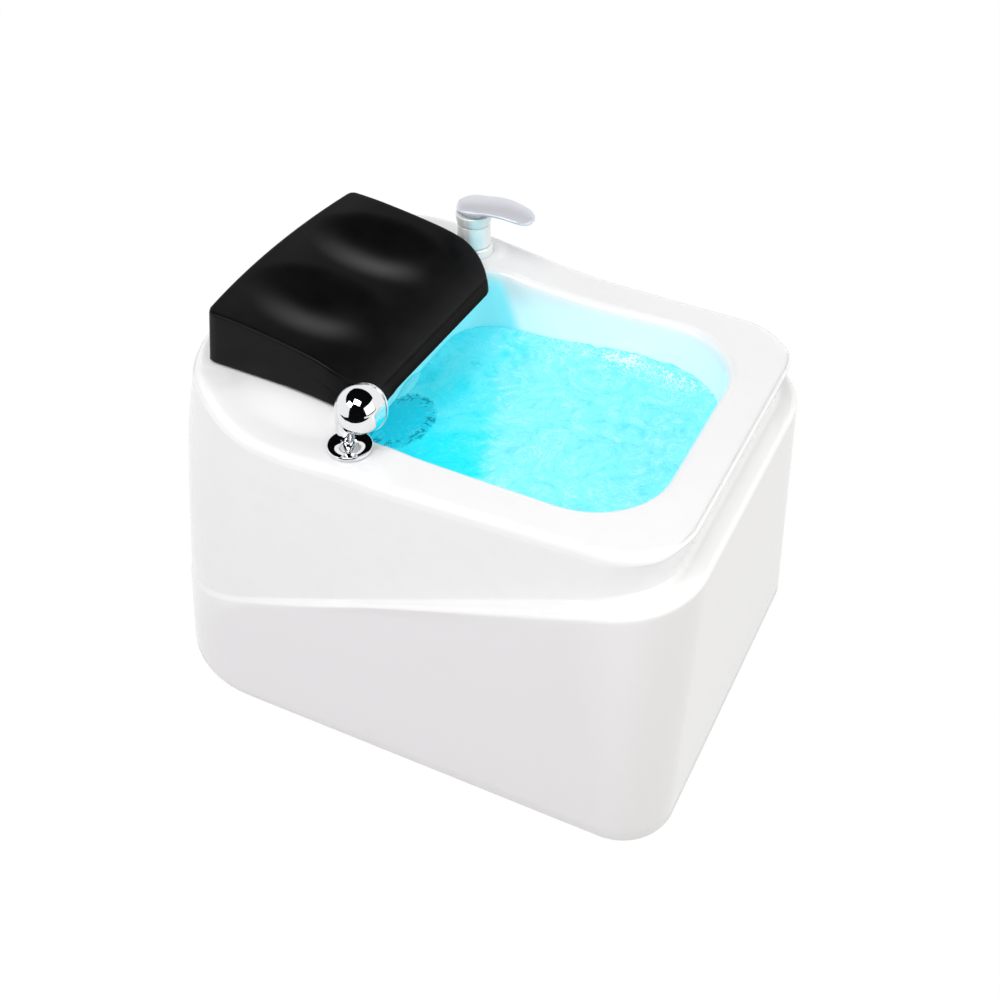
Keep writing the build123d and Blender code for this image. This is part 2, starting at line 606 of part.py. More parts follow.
with BuildPart() as shower_face_ring:
    add(disc(HEAD, HEAD_R, 14.2, 21, HEAD_R - 5))
    chamfer(shower_face_ring.faces().sort_by(Axis(HEAD.origin, HEAD.z_dir))[-1].outer_wire().edges(), 2)
save(shower_face_ring, "shower_face_ring")

with BuildPart() as spray_face:
    add(disc(HEAD, HEAD_R - 5.3, 14.2, 19.5))
save(spray_face, "spray_face")

with BuildPart() as hose_swivel:
    add(disc(SHOWER_PLANE, NECK_R, socket_floor + JOINT_GAP, neck_base - JOINT_GAP))
    add(disc(SHOWER_PLANE, SOCKET_LIP - JOINT_GAP, socket_floor - 3, socket_floor + 1))
save(hose_swivel, "hose_swivel")

# ---------------------------------------------------------------- drain
floor_z = WELL_FLOOR
DRAIN_R = 33.0
TAIL_R = DRAIN_HOLE - 0.3
TAIL_BORE = 20.0
GUIDE_Z = floor_z - 12
PLUG_STEM = 4.0

with BuildPart() as drain_flange:
    add(disc(DRAIN_PLANE, DRAIN_R, floor_z + JOINT_GAP, floor_z + 3, TAIL_BORE))
    add(disc(DRAIN_PLANE, TAIL_R, floor_z - 32, floor_z + 1, TAIL_BORE))
    with Locations((DRAIN_X, 0, GUIDE_Z)):
        Box(2 * TAIL_BORE + 4, 4, 4)
        Box(4, 2 * TAIL_BORE + 4, 4)
    add(disc(DRAIN_PLANE, 8, GUIDE_Z - 2, GUIDE_Z + 2))
    add(disc(DRAIN_PLANE, PLUG_STEM + 0.1, GUIDE_Z - 5, GUIDE_Z + 5), mode=Mode.SUBTRACT)
save(drain_flange, "drain_flange")

with BuildPart() as drain_nut:
    add(disc(DRAIN_PLANE, 35, floor_z - WALL - JOINT_GAP - 9, floor_z - WALL - JOINT_GAP, TAIL_R + 0.1))
save(drain_nut, "drain_nut")

with BuildPart() as drain_stopper:
    add(disc(DRAIN_PLANE, TAIL_BORE + 5, floor_z + 3.3, floor_z + 7))
    add(disc(DRAIN_PLANE, PLUG_STEM, GUIDE_Z - 14, floor_z + 4))
    fillet(drain_stopper.faces().sort_by(Axis.Z)[-1].edges(), 1.5)
save(drain_stopper, "drain_stopper")

TAIL_PIPE_R = 22.0
TAIL_PIPE_BORE = 19.0
TAIL_PIPE_END = 60.0
collar_z = floor_z - 32.3
with BuildPart() as waste_tail:
    add(disc(DRAIN_PLANE, TAIL_PIPE_R, TAIL_PIPE_END, collar_z, TAIL_PIPE_BORE))
    add(disc(DRAIN_PLANE, TAIL_R + 3.5, collar_z - 4, collar_z, TAIL_PIPE_BORE))
    add(disc(DRAIN_PLANE, TAIL_R + 3.5, collar_z, floor_z - 16, TAIL_R + 0.1))
save(waste_tail, "waste_tail")

# ---------------------------------------------------------------- jet pump
JET_FLANGE = 56.0
CUP_R = JET_HOLE - 0.3
CUP_DEPTH = 33.0
CUP_WALL = 3.0
cup_floor = -CUP_DEPTH + CUP_WALL

with BuildPart() as jet_housing:
    add(disc(JET_PLANE, JET_FLANGE, JOINT_GAP, 3.3, CUP_R - CUP_WALL))
    add(disc(JET_PLANE, CUP_R, -CUP_DEPTH, 1))
    add(disc(JET_PLANE, CUP_R - CUP_WALL, cup_floor, 1), mode=Mode.SUBTRACT)
    add(disc(JET_PLANE, 3, cup_floor - 1, -8))
save(jet_housing, "jet_housing")

with BuildPart() as jet_nut:
    add(disc(JET_PLANE, 50, -WALL - JOINT_GAP - 10, -WALL - JOINT_GAP, CUP_R + 0.1))
save(jet_nut, "jet_nut")

COVER_DEPTH = 14.0
COVER_SLOTS = 8
with BuildPart() as jet_cover:
    add(turned(JET_PLANE, [
        (9, COVER_DEPTH), (30, COVER_DEPTH - 1), (46, COVER_DEPTH - 4), (53, COVER_DEPTH - 9), (54, 3.6),
        (51, 3.6), (50, COVER_DEPTH - 10), (44, COVER_DEPTH - 7), (29, COVER_DEPTH - 4), (9, COVER_DEPTH - 3),
    ]))
    with BuildSketch(JET_PLANE):
        with PolarLocations(40, COVER_SLOTS):
            Rectangle(5, 14)
    extrude(amount=COVER_DEPTH + 5, mode=Mode.SUBTRACT)
save(jet_cover, "jet_cover")

BLADES = 6
with BuildPart() as jet_impeller:
    add(disc(JET_PLANE, 29, cup_floor + 1, cup_floor + 4))
    with BuildSketch(JET_PLANE.offset(cup_floor + 3)):
        with PolarLocations(17, BLADES):
            Rectangle(20, 3)
    extrude(amount=13)
    add(disc(JET_PLANE, 8, cup_floor + 1, cup_floor + 17))
    add(disc(JET_PLANE, 3.05, cup_floor - 2, cup_floor + 20), mode=Mode.SUBTRACT)
save(jet_impeller, "jet_impeller")

MOTOR_R = 44.0
motor_face = -CUP_DEPTH - JOINT_GAP
MOTOR_END = -95.0
MAGNET_ROOM = 13.0
with BuildPart() as jet_motor:
    add(disc(JET_PLANE, MOTOR_R, MOTOR_END, motor_face))
    fillet(jet_motor.faces().sort_by(Axis.X)[0].edges(), 6)
    add(disc(JET_PLANE, 33, motor_face - MAGNET_ROOM, motor_face), mode=Mode.SUBTRACT)
    add(disc(JET_PLANE, 5.05, motor_face - 30, motor_face), mode=Mode.SUBTRACT)
save(jet_motor, "jet_motor")

with BuildPart() as motor_magnet:
    add(disc(JET_PLANE, 31, motor_face - 11, motor_face - 2))
    add(disc(JET_PLANE, 5, motor_face - 29, motor_face - 10))
save(motor_magnet, "motor_magnet")

# ---------------------------------------------------------------- lamp
with BuildPart() as light_housing:
    add(disc(LIGHT_PLANE, 17, JOINT_GAP, 3))
    add(disc(LIGHT_PLANE, LIGHT_HOLE - 0.3, -28, 1))
save(light_housing, "light_housing")

with BuildPart() as light_nut:
    add(disc(LIGHT_PLANE, 17, -WALL - JOINT_GAP - 6, -WALL - JOINT_GAP, LIGHT_HOLE - 0.2))
save(light_nut, "light_nut")

with BuildPart() as light_lens:
    add(disc(LIGHT_PLANE, 13, 3.2, 6))
    fillet(light_lens.faces().sort_by(Axis.X)[-1].edges(), 2)
save(light_lens, "light_lens")

# ---------------------------------------------------------------- controls
BOX = (110.0, 120.0, 45.0)
with BuildPart() as control_box:
    with Locations((CROSS_X[0], 0, FRAME_TOP + JOINT_GAP + BOX[2] / 2)):
        Box(*BOX)
    fillet(control_box.edges().filter_by(Axis.Z), 5)
save(control_box, "control_box")

with BuildPart() as power_gland:
    add(disc(GLAND_PLANE, 12, JOINT_GAP, 6, 4))
    add(disc(GLAND_PLANE, GLAND_HOLE - 0.3, -14, 1, 4))
    chamfer(power_gland.faces().sort_by(Axis.X)[0].outer_wire().edges(), 2)
save(power_gland, "power_gland")

BUTTON_R = 9.0
with BuildPart() as button_body:
    add(disc(BUTTON_PLANE, 17, JOINT_GAP, 3, BUTTON_R + JOINT_GAP))
    add(disc(BUTTON_PLANE, BUTTON_HOLE - 0.3, -26, 1))
    add(disc(BUTTON_PLANE, BUTTON_R + JOINT_GAP, -14, 2), mode=Mode.SUBTRACT)
save(button_body, "button_body")

with BuildPart() as button_cap:
    add(disc(BUTTON_PLANE, BUTTON_R, -8, 6))
    fillet(button_cap.faces().sort_by(Axis(BUTTON_PLANE.origin, BUTTON_PLANE.z_dir))[-1].edges(), 1.5)
save(button_cap, "button_cap")
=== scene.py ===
import json
import math
import random

import bmesh
import bpy
from mathutils import Matrix, Vector, noise


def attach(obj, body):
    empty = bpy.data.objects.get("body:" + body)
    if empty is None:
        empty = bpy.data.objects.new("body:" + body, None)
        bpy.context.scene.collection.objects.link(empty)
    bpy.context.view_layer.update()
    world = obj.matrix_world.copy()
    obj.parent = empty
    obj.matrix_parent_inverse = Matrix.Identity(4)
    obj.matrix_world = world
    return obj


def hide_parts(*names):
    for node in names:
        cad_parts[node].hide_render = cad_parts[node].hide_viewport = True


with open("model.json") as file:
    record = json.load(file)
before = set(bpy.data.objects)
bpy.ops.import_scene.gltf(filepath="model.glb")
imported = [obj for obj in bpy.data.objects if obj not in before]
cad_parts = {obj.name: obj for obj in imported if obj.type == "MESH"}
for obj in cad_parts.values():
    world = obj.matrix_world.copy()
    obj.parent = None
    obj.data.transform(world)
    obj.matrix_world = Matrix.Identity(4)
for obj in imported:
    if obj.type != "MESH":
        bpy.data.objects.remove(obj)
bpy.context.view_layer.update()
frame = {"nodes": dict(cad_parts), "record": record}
print("frame loaded")


def mathOperator(operation, reflected=False):
    # one operator of Value, worked by a Math node
    def work(self, other):
        first, second = (other, self) if reflected else (self, other)
        return self.recipe.node("ShaderNodeMath", {"operation": operation}, {0: first, 1: second})
    return work


class Value:
    # one socket of a recipe, so that shader maths reads as Python
    def __init__(self, recipe, socket):
        self.recipe = recipe
        self.socket = socket

    __add__, __radd__ = mathOperator("ADD"), mathOperator("ADD", True)
    __sub__, __rsub__ = mathOperator("SUBTRACT"), mathOperator("SUBTRACT", True)
    __mul__, __rmul__ = mathOperator("MULTIPLY"), mathOperator("MULTIPLY", True)
    __pow__ = mathOperator("POWER")

    def __abs__(self):
        return self.recipe.node("ShaderNodeMath", {"operation": "ABSOLUTE"}, {0: self})

    def held(self, low=0.0, high=1.0):
        # kept between two limits
        return self.recipe.node("ShaderNodeClamp", inputs={0: self, 1: low, 2: high})


class Recipe:
    # one material, or the world, and the nodes that make it
    def __init__(self, name, home=bpy.data.materials):
        self.owner = home.new(name)
        self.owner.use_nodes = True
        self.tree = self.owner.node_tree
        self.shader = self.tree.nodes.get("Principled BSDF")

    def node(self, kind, settings=None, inputs=None, output=0):
        made = self.tree.nodes.new(kind)
        for key, setting in (settings or {}).items():
            if key == "stops":
                ramp = made.color_ramp
                while len(ramp.elements) < len(setting):
                    ramp.elements.new(0.5)
                for element, (position, colour) in zip(ramp.elements, setting):
                    element.position = position
                    element.color = colour
            else:
                setattr(made, key, setting)
        self.feed(made, inputs or {})
        return Value(self, made.outputs[output])

    def feed(self, target, inputs):
        for key, given in inputs.items():
            if isinstance(given, Value):
                self.tree.links.new(given.socket, target.inputs[key])
            else:
                target.inputs[key].default_value = given

    def place(self):
        return self.node("ShaderNodeTexCoord", output="Object")

    def axis(self, letter):
        return self.node("ShaderNodeSeparateXYZ", inputs={0: self.place()}, output=letter)

    def rise(self, value, start, end):
        # 0 at start, 1 at end, eased
        return self.node("ShaderNodeMapRange", {"interpolation_type": "SMOOTHSTEP"},
                         {"Value": value, "From Min": start, "From Max": end})

    def speckle(self, scale, detail=2.0, roughness=0.5, distortion=0.0):
        return self.node("ShaderNodeTexNoise", inputs={
            "Vector": self.place(), "Scale": scale, "Detail": detail, "Roughness": roughness,
            "Distortion": distortion})

    def blend(self, share, first, second):
        return self.node("ShaderNodeMix", {"data_type": "RGBA"}, {0: share, 6: first, 7: second}, 2)

    def bump(self, height, strength, distance):
        return self.node("ShaderNodeBump", inputs={
            "Height": height, "Strength": strength, "Distance": distance})

    def finish(self, **sockets):
        names = {name.replace(" ", ""): name for name in self.shader.inputs.keys()}
        self.feed(self.shader, {names[key]: given for key, given in sockets.items()})
        return self.owner


black, white = (0, 0, 0, 1), (1, 1, 1, 1)
waterline = 0.348          # mean height of the water, metres

# painted light of the lamp under the water on the basin walls: a pale cyan tint and glow below the rim,
# painted shade as a deeper cyan wedge at the end by the footrest, and the strongest cyan and glow below the
# waterline
wellLight = {
    "middle": (0.089, 0.0), "half": (0.182, 0.170), "corner": 0.072, "widening": 0.0385, "far": 9.0,
    "inside": (0.006, -0.003), "below": (0.407, 0.372), "wetBand": (0.006, -0.010), "lean": 0.38,
    "footEndX": (-0.012, -0.032), "footEndZ": (0.433, 0.398), "footEndSide": (0.012, 0.004),
    "wall": (0.68, 0.86, 0.90, 1), "wallGlow": (0.20, 0.205, 0.215, 1),
    "footEnd": (0.28, 0.77, 0.83, 1), "footEndGlow": (0.07, 0.19, 0.21, 1),
    "wet": (0.03, 0.74, 0.86, 1), "wetGlow": (0.0, 0.20, 0.24, 1),
}


def litByWater(recipe, base):
    # painted light: the glow of the lamp under the water is painted into the colour and emission of the basin
    # walls, most at the end by the footrest
    x, y, z = (recipe.axis(letter) for letter in "XYZ")
    middle, half, corner, far = (wellLight[key] for key in ("middle", "half", "corner", "far"))
    side = half[1] + (x - middle[0]) * wellLight["widening"] - corner
    overX = (abs(x - middle[0]) - (half[0] - corner)).held(0.0, far)
    overY = (abs(y) - side).held(0.0, far)
    outside = (overX * overX + overY * overY) ** 0.5 - corner
    inWell = recipe.rise(outside, *wellLight["inside"])
    below = recipe.rise(z, *wellLight["below"]) * inWell
    # painted shade: a deeper cyan wedge at the end by the footrest, behind a leaning line
    edge = x + (z - waterline) * wellLight["lean"]
    footEnd = recipe.rise(edge, *wellLight["footEndX"]) * recipe.rise(z, *wellLight["footEndZ"])
    footEnd = footEnd * recipe.rise(outside, *wellLight["footEndSide"])
    # painted light: below the waterline the walls are painted the cyan of the lit water, with its glow
    wet = recipe.rise(z, *(waterline + step for step in wellLight["wetBand"])) * inWell
    tone, glow = base, black
    for share, name in ((below, "wall"), (footEnd, "footEnd"), (wet, "wet")):
        tone = recipe.blend(share, tone, wellLight[name])
        glow = recipe.blend(share, glow, wellLight[name + "Glow"])
    return tone, glow


def darker(colour, share):
    return tuple(c * share for c in colour[:3]) + (1,)


def whiteGelcoat(name, colour, well=False, shadeBelowLedge=None):
    look = {
        "rough": 0.16, "roughSpread": 0.05, "orangePeel": 240.0, "peelDepth": 0.02, "scuffs": 38.0,
        "ledgeLine": (0.408, 0.2469), "ledgeTop": 0.3495, "ledgeWide": (-0.29, -0.17),
        "fadeFrom": 0.002, "fadeTall": 0.075, "fadeLess": 0.064,
        "endX": (0.24, 0.30), "endLitTone": (0.97, 0.97, 0.965, 1), "lowX": (0.280, 0.335),
    }
    recipe = Recipe(name)
    wave = recipe.speckle(look["orangePeel"], detail=1.0)
    cloud = recipe.speckle(look["scuffs"], detail=4.0, roughness=0.65)
    tone, glow = recipe.blend(recipe.rise(cloud, 0.35, 0.75), colour, darker(colour, 0.985)), black
    if shadeBelowLedge:
        # painted shade: the casing is painted darker under the ledge, at once where it is wide and slowly at
        # the tall end, and deepest at the low end
        x, z = recipe.axis("X"), recipe.axis("Z")
        slope, level = look["ledgeLine"]
        under = (x * slope + level).held(0.0, look["ledgeTop"]) - z
        wide = recipe.rise(x, *look["ledgeWide"])
        share = recipe.rise(under, look["fadeFrom"], look["fadeTall"] - wide * look["fadeLess"])
        # painted light: the casing is painted lighter towards the low end
        tone = recipe.blend(recipe.rise(x, *look["endX"]), tone, look["endLitTone"])
        tone = recipe.blend(share, tone, recipe.blend(recipe.rise(x, *look["lowX"]), *shadeBelowLedge))
    # painted light: inside the well the gelcoat takes the tint and glow of the lamp under the water
    if well:
        tone, glow = litByWater(recipe, tone)
    return recipe.finish(
        BaseColor=tone, Roughness=cloud * look["roughSpread"] + look["rough"], CoatWeight=0.35,
        CoatRoughness=0.05, IOR=1.49, EmissionColor=glow, EmissionStrength=1.0 if well else 0.0,
        Normal=recipe.bump(wave, look["peelDepth"], 0.0006))


def foamSkin():
    look = {"black": (0.0022, 0.0021, 0.0023, 1), "worn": (0.0042, 0.0040, 0.0043, 1)}
    recipe = Recipe("blackFoamSkin")
    grain = recipe.speckle(1500.0, detail=3.0, roughness=0.6)
    patch = recipe.speckle(30.0, detail=4.0)
    tone = recipe.blend(recipe.rise(patch, 0.3, 0.75), look["black"], look["worn"])
    return recipe.finish(
        BaseColor=tone, Roughness=patch * 0.08 + 0.36, SpecularIORLevel=0.15,
        Normal=recipe.bump(grain, 0.10, 0.0003))


def brightChrome(name, tone=(0.83, 0.84, 0.85, 1), rough=0.045, metal=1.0):
    recipe = Recipe(name)
    haze = recipe.speckle(65.0, detail=5.0, roughness=0.7)
    marks = recipe.rise(haze, 0.52, 0.8)
    return recipe.finish(
        BaseColor=recipe.blend(marks * 0.5, tone, darker(tone, 0.93)), Metallic=metal,
        Roughness=marks * 0.05 + rough)


def plainFinish(name, colour, rough, metal=0.0, grain=400.0, depth=0.08, spread=0.12):
    # moulded, cast or plated finish with a fine grain and slight changes of tone
    recipe = Recipe(name)
    cloud = recipe.speckle(grain / 9, detail=4.0, roughness=0.6)
    fine = recipe.speckle(grain, detail=2.0)
    tone = recipe.blend(recipe.rise(cloud, 0.3, 0.7), colour, darker(colour, 1 - spread))
    return recipe.finish(
        BaseColor=tone, Metallic=metal,
        Roughness=cloud * 0.12 + (rough - 0.06), Normal=recipe.bump(fine, depth, 0.0003))


def litWater():
    look = {
        "deep": (0.045, 0.80, 0.92, 1), "bright": (0.13, 0.86, 0.965, 1), "light": (0.25, 0.84, 0.935, 1),
        "streak": (0.70, 0.975, 1.0, 1), "shade": (0.0, 0.56, 0.70, 1), "nearFoot": (0.006, 0.80, 0.93, 1),
        "jet": (0.0, 0.62, 0.80, 1), "slot": (0.0, 0.17, 0.24, 1),
        "jetSpot": (-0.068, -0.064), "jetSize": (26.0, 18.5), "jetRagged": 0.55,
        # scale, detail, roughness and distortion of each cloud
        "broad": (9.0, 3.0, 0.6, 0.8), "swirl": (24.0, 7.0, 0.62, 2.6),
        "threads": (46.0, 5.0, 0.55, 3.6), "fine": (110.0, 4.0, 0.6, 1.8),
        "litFrom": (0.010, 0.050), "nearFootFrom": (-0.03, -0.085), "threadWidth": 16.0,
        "farWall": ((0.075, 0.150), (-0.03, 0.05)), "swirlHeight": 0.6, "ripple": (0.28, 0.003),
    }
    recipe = Recipe("litWater")
    x, y = (recipe.axis(letter) for letter in "XY")
    broad, swirl, threads, fine = (
        recipe.speckle(*look[key]) for key in ("broad", "swirl", "threads", "fine"))
    # painted light and shade: the lamp's side is painted paler than the side by the footrest, and the near
    # part by the footrest is painted deeper
    slant = x + y * 0.30 + (broad - 0.5) * 0.16 + (swirl - 0.5) * 0.05
    lit = recipe.rise(slant, *look["litFrom"])
    nearFoot = recipe.rise(y + x * 0.35, *look["nearFootFrom"]) * (1.0 - lit)
    # jet seen through the water: a deeper disc with the slots round it
    acrossJet, alongJet = (
        (axis - spot) * size for axis, spot, size in zip((x, y), look["jetSpot"], look["jetSize"]))
    away = (acrossJet * acrossJet + alongJet * alongJet + (fine - 0.5) * look["jetRagged"]) ** 0.5
    disc = recipe.rise(away, 1.06, 0.9)
    slots = recipe.rise(away, 0.66, 0.78) * recipe.rise(away, 1.04, 0.92) * recipe.rise(threads, 0.53, 0.56)
    # ripples: painted highlights as pale threads and painted shade as darker hollows, most at the far wall
    rimY, rimX = look["farWall"]
    rim = recipe.rise(y, *rimY) * recipe.rise(x, *rimX)
    ridge = (1.0 - abs(threads - 0.5) * look["threadWidth"]).held()
    pale = ridge * recipe.rise(swirl, 0.45, 0.62) * (lit * 0.46 + 0.14)
    pale = (pale + rim * recipe.rise(fine, 0.52, 0.68) * 0.5).held()
    hollow = recipe.rise(swirl, 0.47, 0.36) * recipe.rise(fine, 0.42, 0.58) * 0.35
    hollow = (hollow + rim * recipe.rise(fine, 0.46, 0.36) * 0.5).held()
    tone = recipe.blend(recipe.rise(broad, 0.38, 0.62), look["deep"], look["bright"])
    for share, name in ((nearFoot * 0.8, "nearFoot"), (lit * 0.9, "light"), (disc * 0.85, "jet"),
                        (slots * 0.8, "slot"), (hollow, "shade"), (pale * 0.8, "streak")):
        tone = recipe.blend(share, tone, look[name])
    height = swirl * look["swirlHeight"] + fine * (1 - look["swirlHeight"])
    # painted light: the water glows in its own colour, in place of the lamp under it
    return recipe.finish(
        BaseColor=tone, Roughness=0.05, IOR=1.33, SpecularIORLevel=0.45, EmissionColor=tone,
        EmissionStrength=0.20, Alpha=0.86 + pale * 0.1, Normal=recipe.bump(height, *look["ripple"]))


def extrudeRing(mesh, ring):
    # extrudes a closed ring of vertices and returns the new ring in the same order
    count = len(ring)
    edges = [mesh.edges.get((ring[i], ring[(i + 1) % count])) for i in range(count)]
    made = bmesh.ops.extrude_edge_only(mesh, edges=edges)["geom"]
    old = set(ring)
    partner = {}
    for vert in made:
        if isinstance(vert, bmesh.types.BMVert):
            for edge in vert.link_edges:
                other = edge.other_vert(vert)
                if other in old:
                    partner[other] = vert
    return [partner[vert] for vert in ring]


def lofted(rings, closeStart=True, closeEnd=True):
    # a mesh of rings of points, all with the same count, joined one after another
    mesh = bmesh.new()
    first = ring = bmesh.ops.create_circle(mesh, cap_ends=False, segments=len(rings[0]), radius=1.0)["verts"]
    for step, points in enumerate(rings):
        if step:
            ring = extrudeRing(mesh, ring)
        for vert, point in zip(ring, points):
            vert.co = point
    for end, closed in ((first, closeStart), (ring, closeEnd)):
        if closed:
            bmesh.ops.contextual_create(mesh, geom=end)
    faceOutward(mesh)
    return mesh


def faceOutward(mesh):
    # a closed form is worked out; an open skin's outer wall faces away from the middle
    if not any(edge.is_boundary for edge in mesh.edges):
        bmesh.ops.recalc_face_normals(mesh, faces=mesh.faces)
        return
    mesh.normal_update()
    outer = max(mesh.faces, key=lambda face: face.calc_center_median().x - 0.2 * face.calc_center_median().z)
    if outer.normal.x < 0:
        bmesh.ops.reverse_faces(mesh, faces=mesh.faces)


def spun(outline, origin, axis, edge=0.0, steps=96):
    # turns an outline of (radius, height) corners about an axis and rounds the edges
    mesh = bmesh.new()
    axis = Vector(axis).normalized()
    side = axis.orthogonal().normalized()
    corners = [mesh.verts.new(Vector(origin) + side * radius + axis * height) for radius, height in outline]
    edges = [mesh.edges.new((corners[i], corners[i + 1])) for i in range(len(corners) - 1)]
    if outline[0][0] > 1e-6 or outline[-1][0] > 1e-6:
        edges.append(mesh.edges.new((corners[-1], corners[0])))
    bmesh.ops.spin(mesh, geom=corners + edges, cent=origin, axis=axis, angle=2 * math.pi, steps=steps,
                   use_merge=True, use_duplicate=False)
    bmesh.ops.remove_doubles(mesh, verts=mesh.verts, dist=1e-6)
    bmesh.ops.recalc_face_normals(mesh, faces=mesh.faces)
    if edge:
        sharp = [line for line in mesh.edges
                 if len(line.link_faces) == 2 and line.calc_face_angle(0) > math.radians(28)]
        bmesh.ops.bevel(mesh, geom=sharp, offset=edge, offset_type="OFFSET", affect="EDGES",
                        segments=3, profile=0.5, material=-1, clamp_overlap=True)
    return mesh


def addMesh(mesh, extra):
    # adds the faces of a second mesh to the first
    data = bpy.data.meshes.new("extra")
    extra.to_mesh(data)
    extra.free()
    mesh.from_mesh(data)
    bpy.data.meshes.remove(data)


def addObject(name, data):
    # links new data into the scene
    made = bpy.data.objects.new(name, data)
    bpy.context.scene.collection.objects.link(made)
    return made


def objectFrom(name, mesh, material=None):
    data = bpy.data.meshes.new(name)
    mesh.to_mesh(data)
    mesh.free()
    if material:
        data.materials.append(material)
    return addObject(name, data)


def piece(name, mesh, material, body, nodes, angle=None):
    mesh.edges.index_update()
    rims = [edge.index for edge in mesh.edges if edge.is_boundary]
    made = objectFrom(name, mesh, material)
    for face in made.data.polygons:
        face.use_smooth = True
    if angle:
        made.data.set_sharp_from_angle(angle=math.radians(angle))
    for index in rims:
        made.data.edges[index].use_edge_sharp = True
    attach(made, body)
    if nodes:
        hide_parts(*nodes)
    return made


def turnedPiece(name, outline, origin, axis, edge, material, body, node):
    piece(name, spun(outline, origin, axis, edge), material, body, (node,), angle=40)


def thicken(made, thickness):
    wall = made.modifiers.new("wall", "SOLIDIFY")
    wall.thickness = thickness
    wall.offset = -1.0
    wall.use_even_offset = False


def ease(value, start, end):
    # 0 at start, 1 at end
    share = min(1.0, max(0.0, (value - start) / (end - start)))
    return share * share * (3 - 2 * share)


def curveThrough(stations, heights, x):
    # smooth curve through the heights at the stations
    if x <= stations[0]:
        return heights[0]
    if x >= stations[-1]:
        return heights[-1]
    last = len(stations) - 1
    i = max(k for k in range(last) if stations[k] <= x)

    def slope(k):
        before, after = max(0, k - 1), min(last, k + 1)
        return (heights[after] - heights[before]) / (stations[after] - stations[before])

    run = stations[i + 1] - stations[i]
    t = (x - stations[i]) / run
    return ((2 * t ** 3 - 3 * t ** 2 + 1) * heights[i] + (t ** 3 - 2 * t ** 2 + t) * run * slope(i)
            + (3 * t ** 2 - 2 * t ** 3) * heights[i + 1] + (t ** 3 - t ** 2) * run * slope(i + 1))


studio = {
    "camera": (0.5937, -1.1565, 1.3710), "yaw": 25.97, "pitch": 42.04, "lens": 50.4, "sensor": 36.0,
    "world": 0.60, "floor": 9.0, "floorTone": (0.60, 0.60, 0.60, 1), "floorGlow": 1.03, "floorShown": 0.95,
    "flagTone": (0.006, 0.006, 0.007, 1),
    # place, aim and size, and a lamp's power and tone
    "lamps": {
        "top": ((0.0, -1.2, 2.6), (0, 0, 0.3), (1.3, 1.0), 23.0, (1, 0.995, 0.99)),
        "left": ((-1.25, -1.8, 2.05), (0, 0, 0.3), (1.0, 0.8), 12.0, (0.975, 0.955, 1)),
        "right": ((2.3, -0.3, 1.5), (0, 0, 0.3), (2.8, 1.7), 23.0, (1, 0.998, 0.985)),
    },
    "flags": (
        ((-0.5, 0.55, 3.4), (-0.5, 0.55, 0.4), (7.4, 7.9)), ((0.8, -3.4, 1.7), (0.8, 0.0, 1.7), (4.8, 3.4)),
        ((0.8, -2.3, 0.03), (0.8, -2.3, 3.0), (4.8, 2.3)), ((3.2, -1.0, 2.0), (0.0, -1.0, 2.0), (4.8, 2.9)),
    ),
}


def makeCamera():
    data = bpy.data.cameras.new("camera")
    data.lens = studio["lens"]
    data.sensor_width = studio["sensor"]
    camera = addObject("camera", data)
    camera.location = studio["camera"]
    camera.rotation_euler = (math.radians(90 - studio["pitch"]), 0, math.radians(studio["yaw"]))
    bpy.context.scene.camera = camera


def aimed(place, aim):
    return (Vector(aim) - Vector(place)).to_track_quat("-Z", "Y")


def makeLamps():
    for name, (place, aim, size, power, tone) in studio["lamps"].items():
        data = bpy.data.lights.new(name, "AREA")
        data.shape = "RECTANGLE"
        data.size, data.size_y = size
        data.energy, data.color = power, tone
        lamp = addObject(name, data)
        lamp.location = place
        lamp.rotation_euler = aimed(place, aim).to_euler()


def shownTo(recipe, *kinds):
    # 1 for the rays that see the plain white studio
    return sum(recipe.node("ShaderNodeLightPath", output="Is " + kind + " Ray") for kind in kinds).held()


def makeFloor():
    recipe = Recipe("paleFloor")
    recipe.finish(BaseColor=studio["floorTone"], Roughness=0.9, SpecularIORLevel=0.0)
    glow = recipe.node("ShaderNodeEmission", inputs={"Color": white, "Strength": studio["floorGlow"]})
    mixed = recipe.node("ShaderNodeMixShader", inputs={
        0: shownTo(recipe, "Camera", "Glossy") * studio["floorShown"],
        1: Value(recipe, recipe.shader.outputs[0]), 2: glow})
    recipe.feed(recipe.tree.nodes["Material Output"], {"Surface": mixed})
    mesh = bmesh.new()
    bmesh.ops.create_grid(mesh, x_segments=2, y_segments=2, size=studio["floor"])
    objectFrom("floor", mesh, recipe.owner)


def makeFlags():
    # dark studio flags that only polished metal reflects
    recipe = Recipe("darkFlag")
    recipe.finish(BaseColor=studio["flagTone"], Roughness=1.0, SpecularIORLevel=0.0)
    mesh = bmesh.new()
    for place, aim, size in studio["flags"]:
        turn = aimed(place, aim).to_matrix().to_4x4()
        bmesh.ops.create_grid(mesh, x_segments=1, y_segments=1, size=0.5,
                              matrix=Matrix.Translation(place) @ turn @ Matrix.Diagonal((*size, 1, 1)))
    flags = objectFrom("darkFlags", mesh, recipe.owner)
    for kind in ("camera", "diffuse", "shadow", "transmission"):
        setattr(flags, "visible_" + kind, False)


def makeWorld():
    recipe = Recipe("studio", bpy.data.worlds)
    bpy.context.scene.world = recipe.owner
    light = recipe.node("ShaderNodeBackground", inputs={"Color": white, "Strength": studio["world"]})
    seen = recipe.node("ShaderNodeBackground", inputs={"Color": white})
    mixed = recipe.node("ShaderNodeMixShader", inputs={
        0: shownTo(recipe, "Camera", "Transmission", "Glossy"), 1: light, 2: seen})
    recipe.feed(recipe.tree.nodes["World Output"], {"Surface": mixed})


makeCamera()
makeFloor()
makeFlags()
makeWorld()
makeLamps()
bpy.context.scene.view_settings.view_transform = "Standard"
print("studio ready")

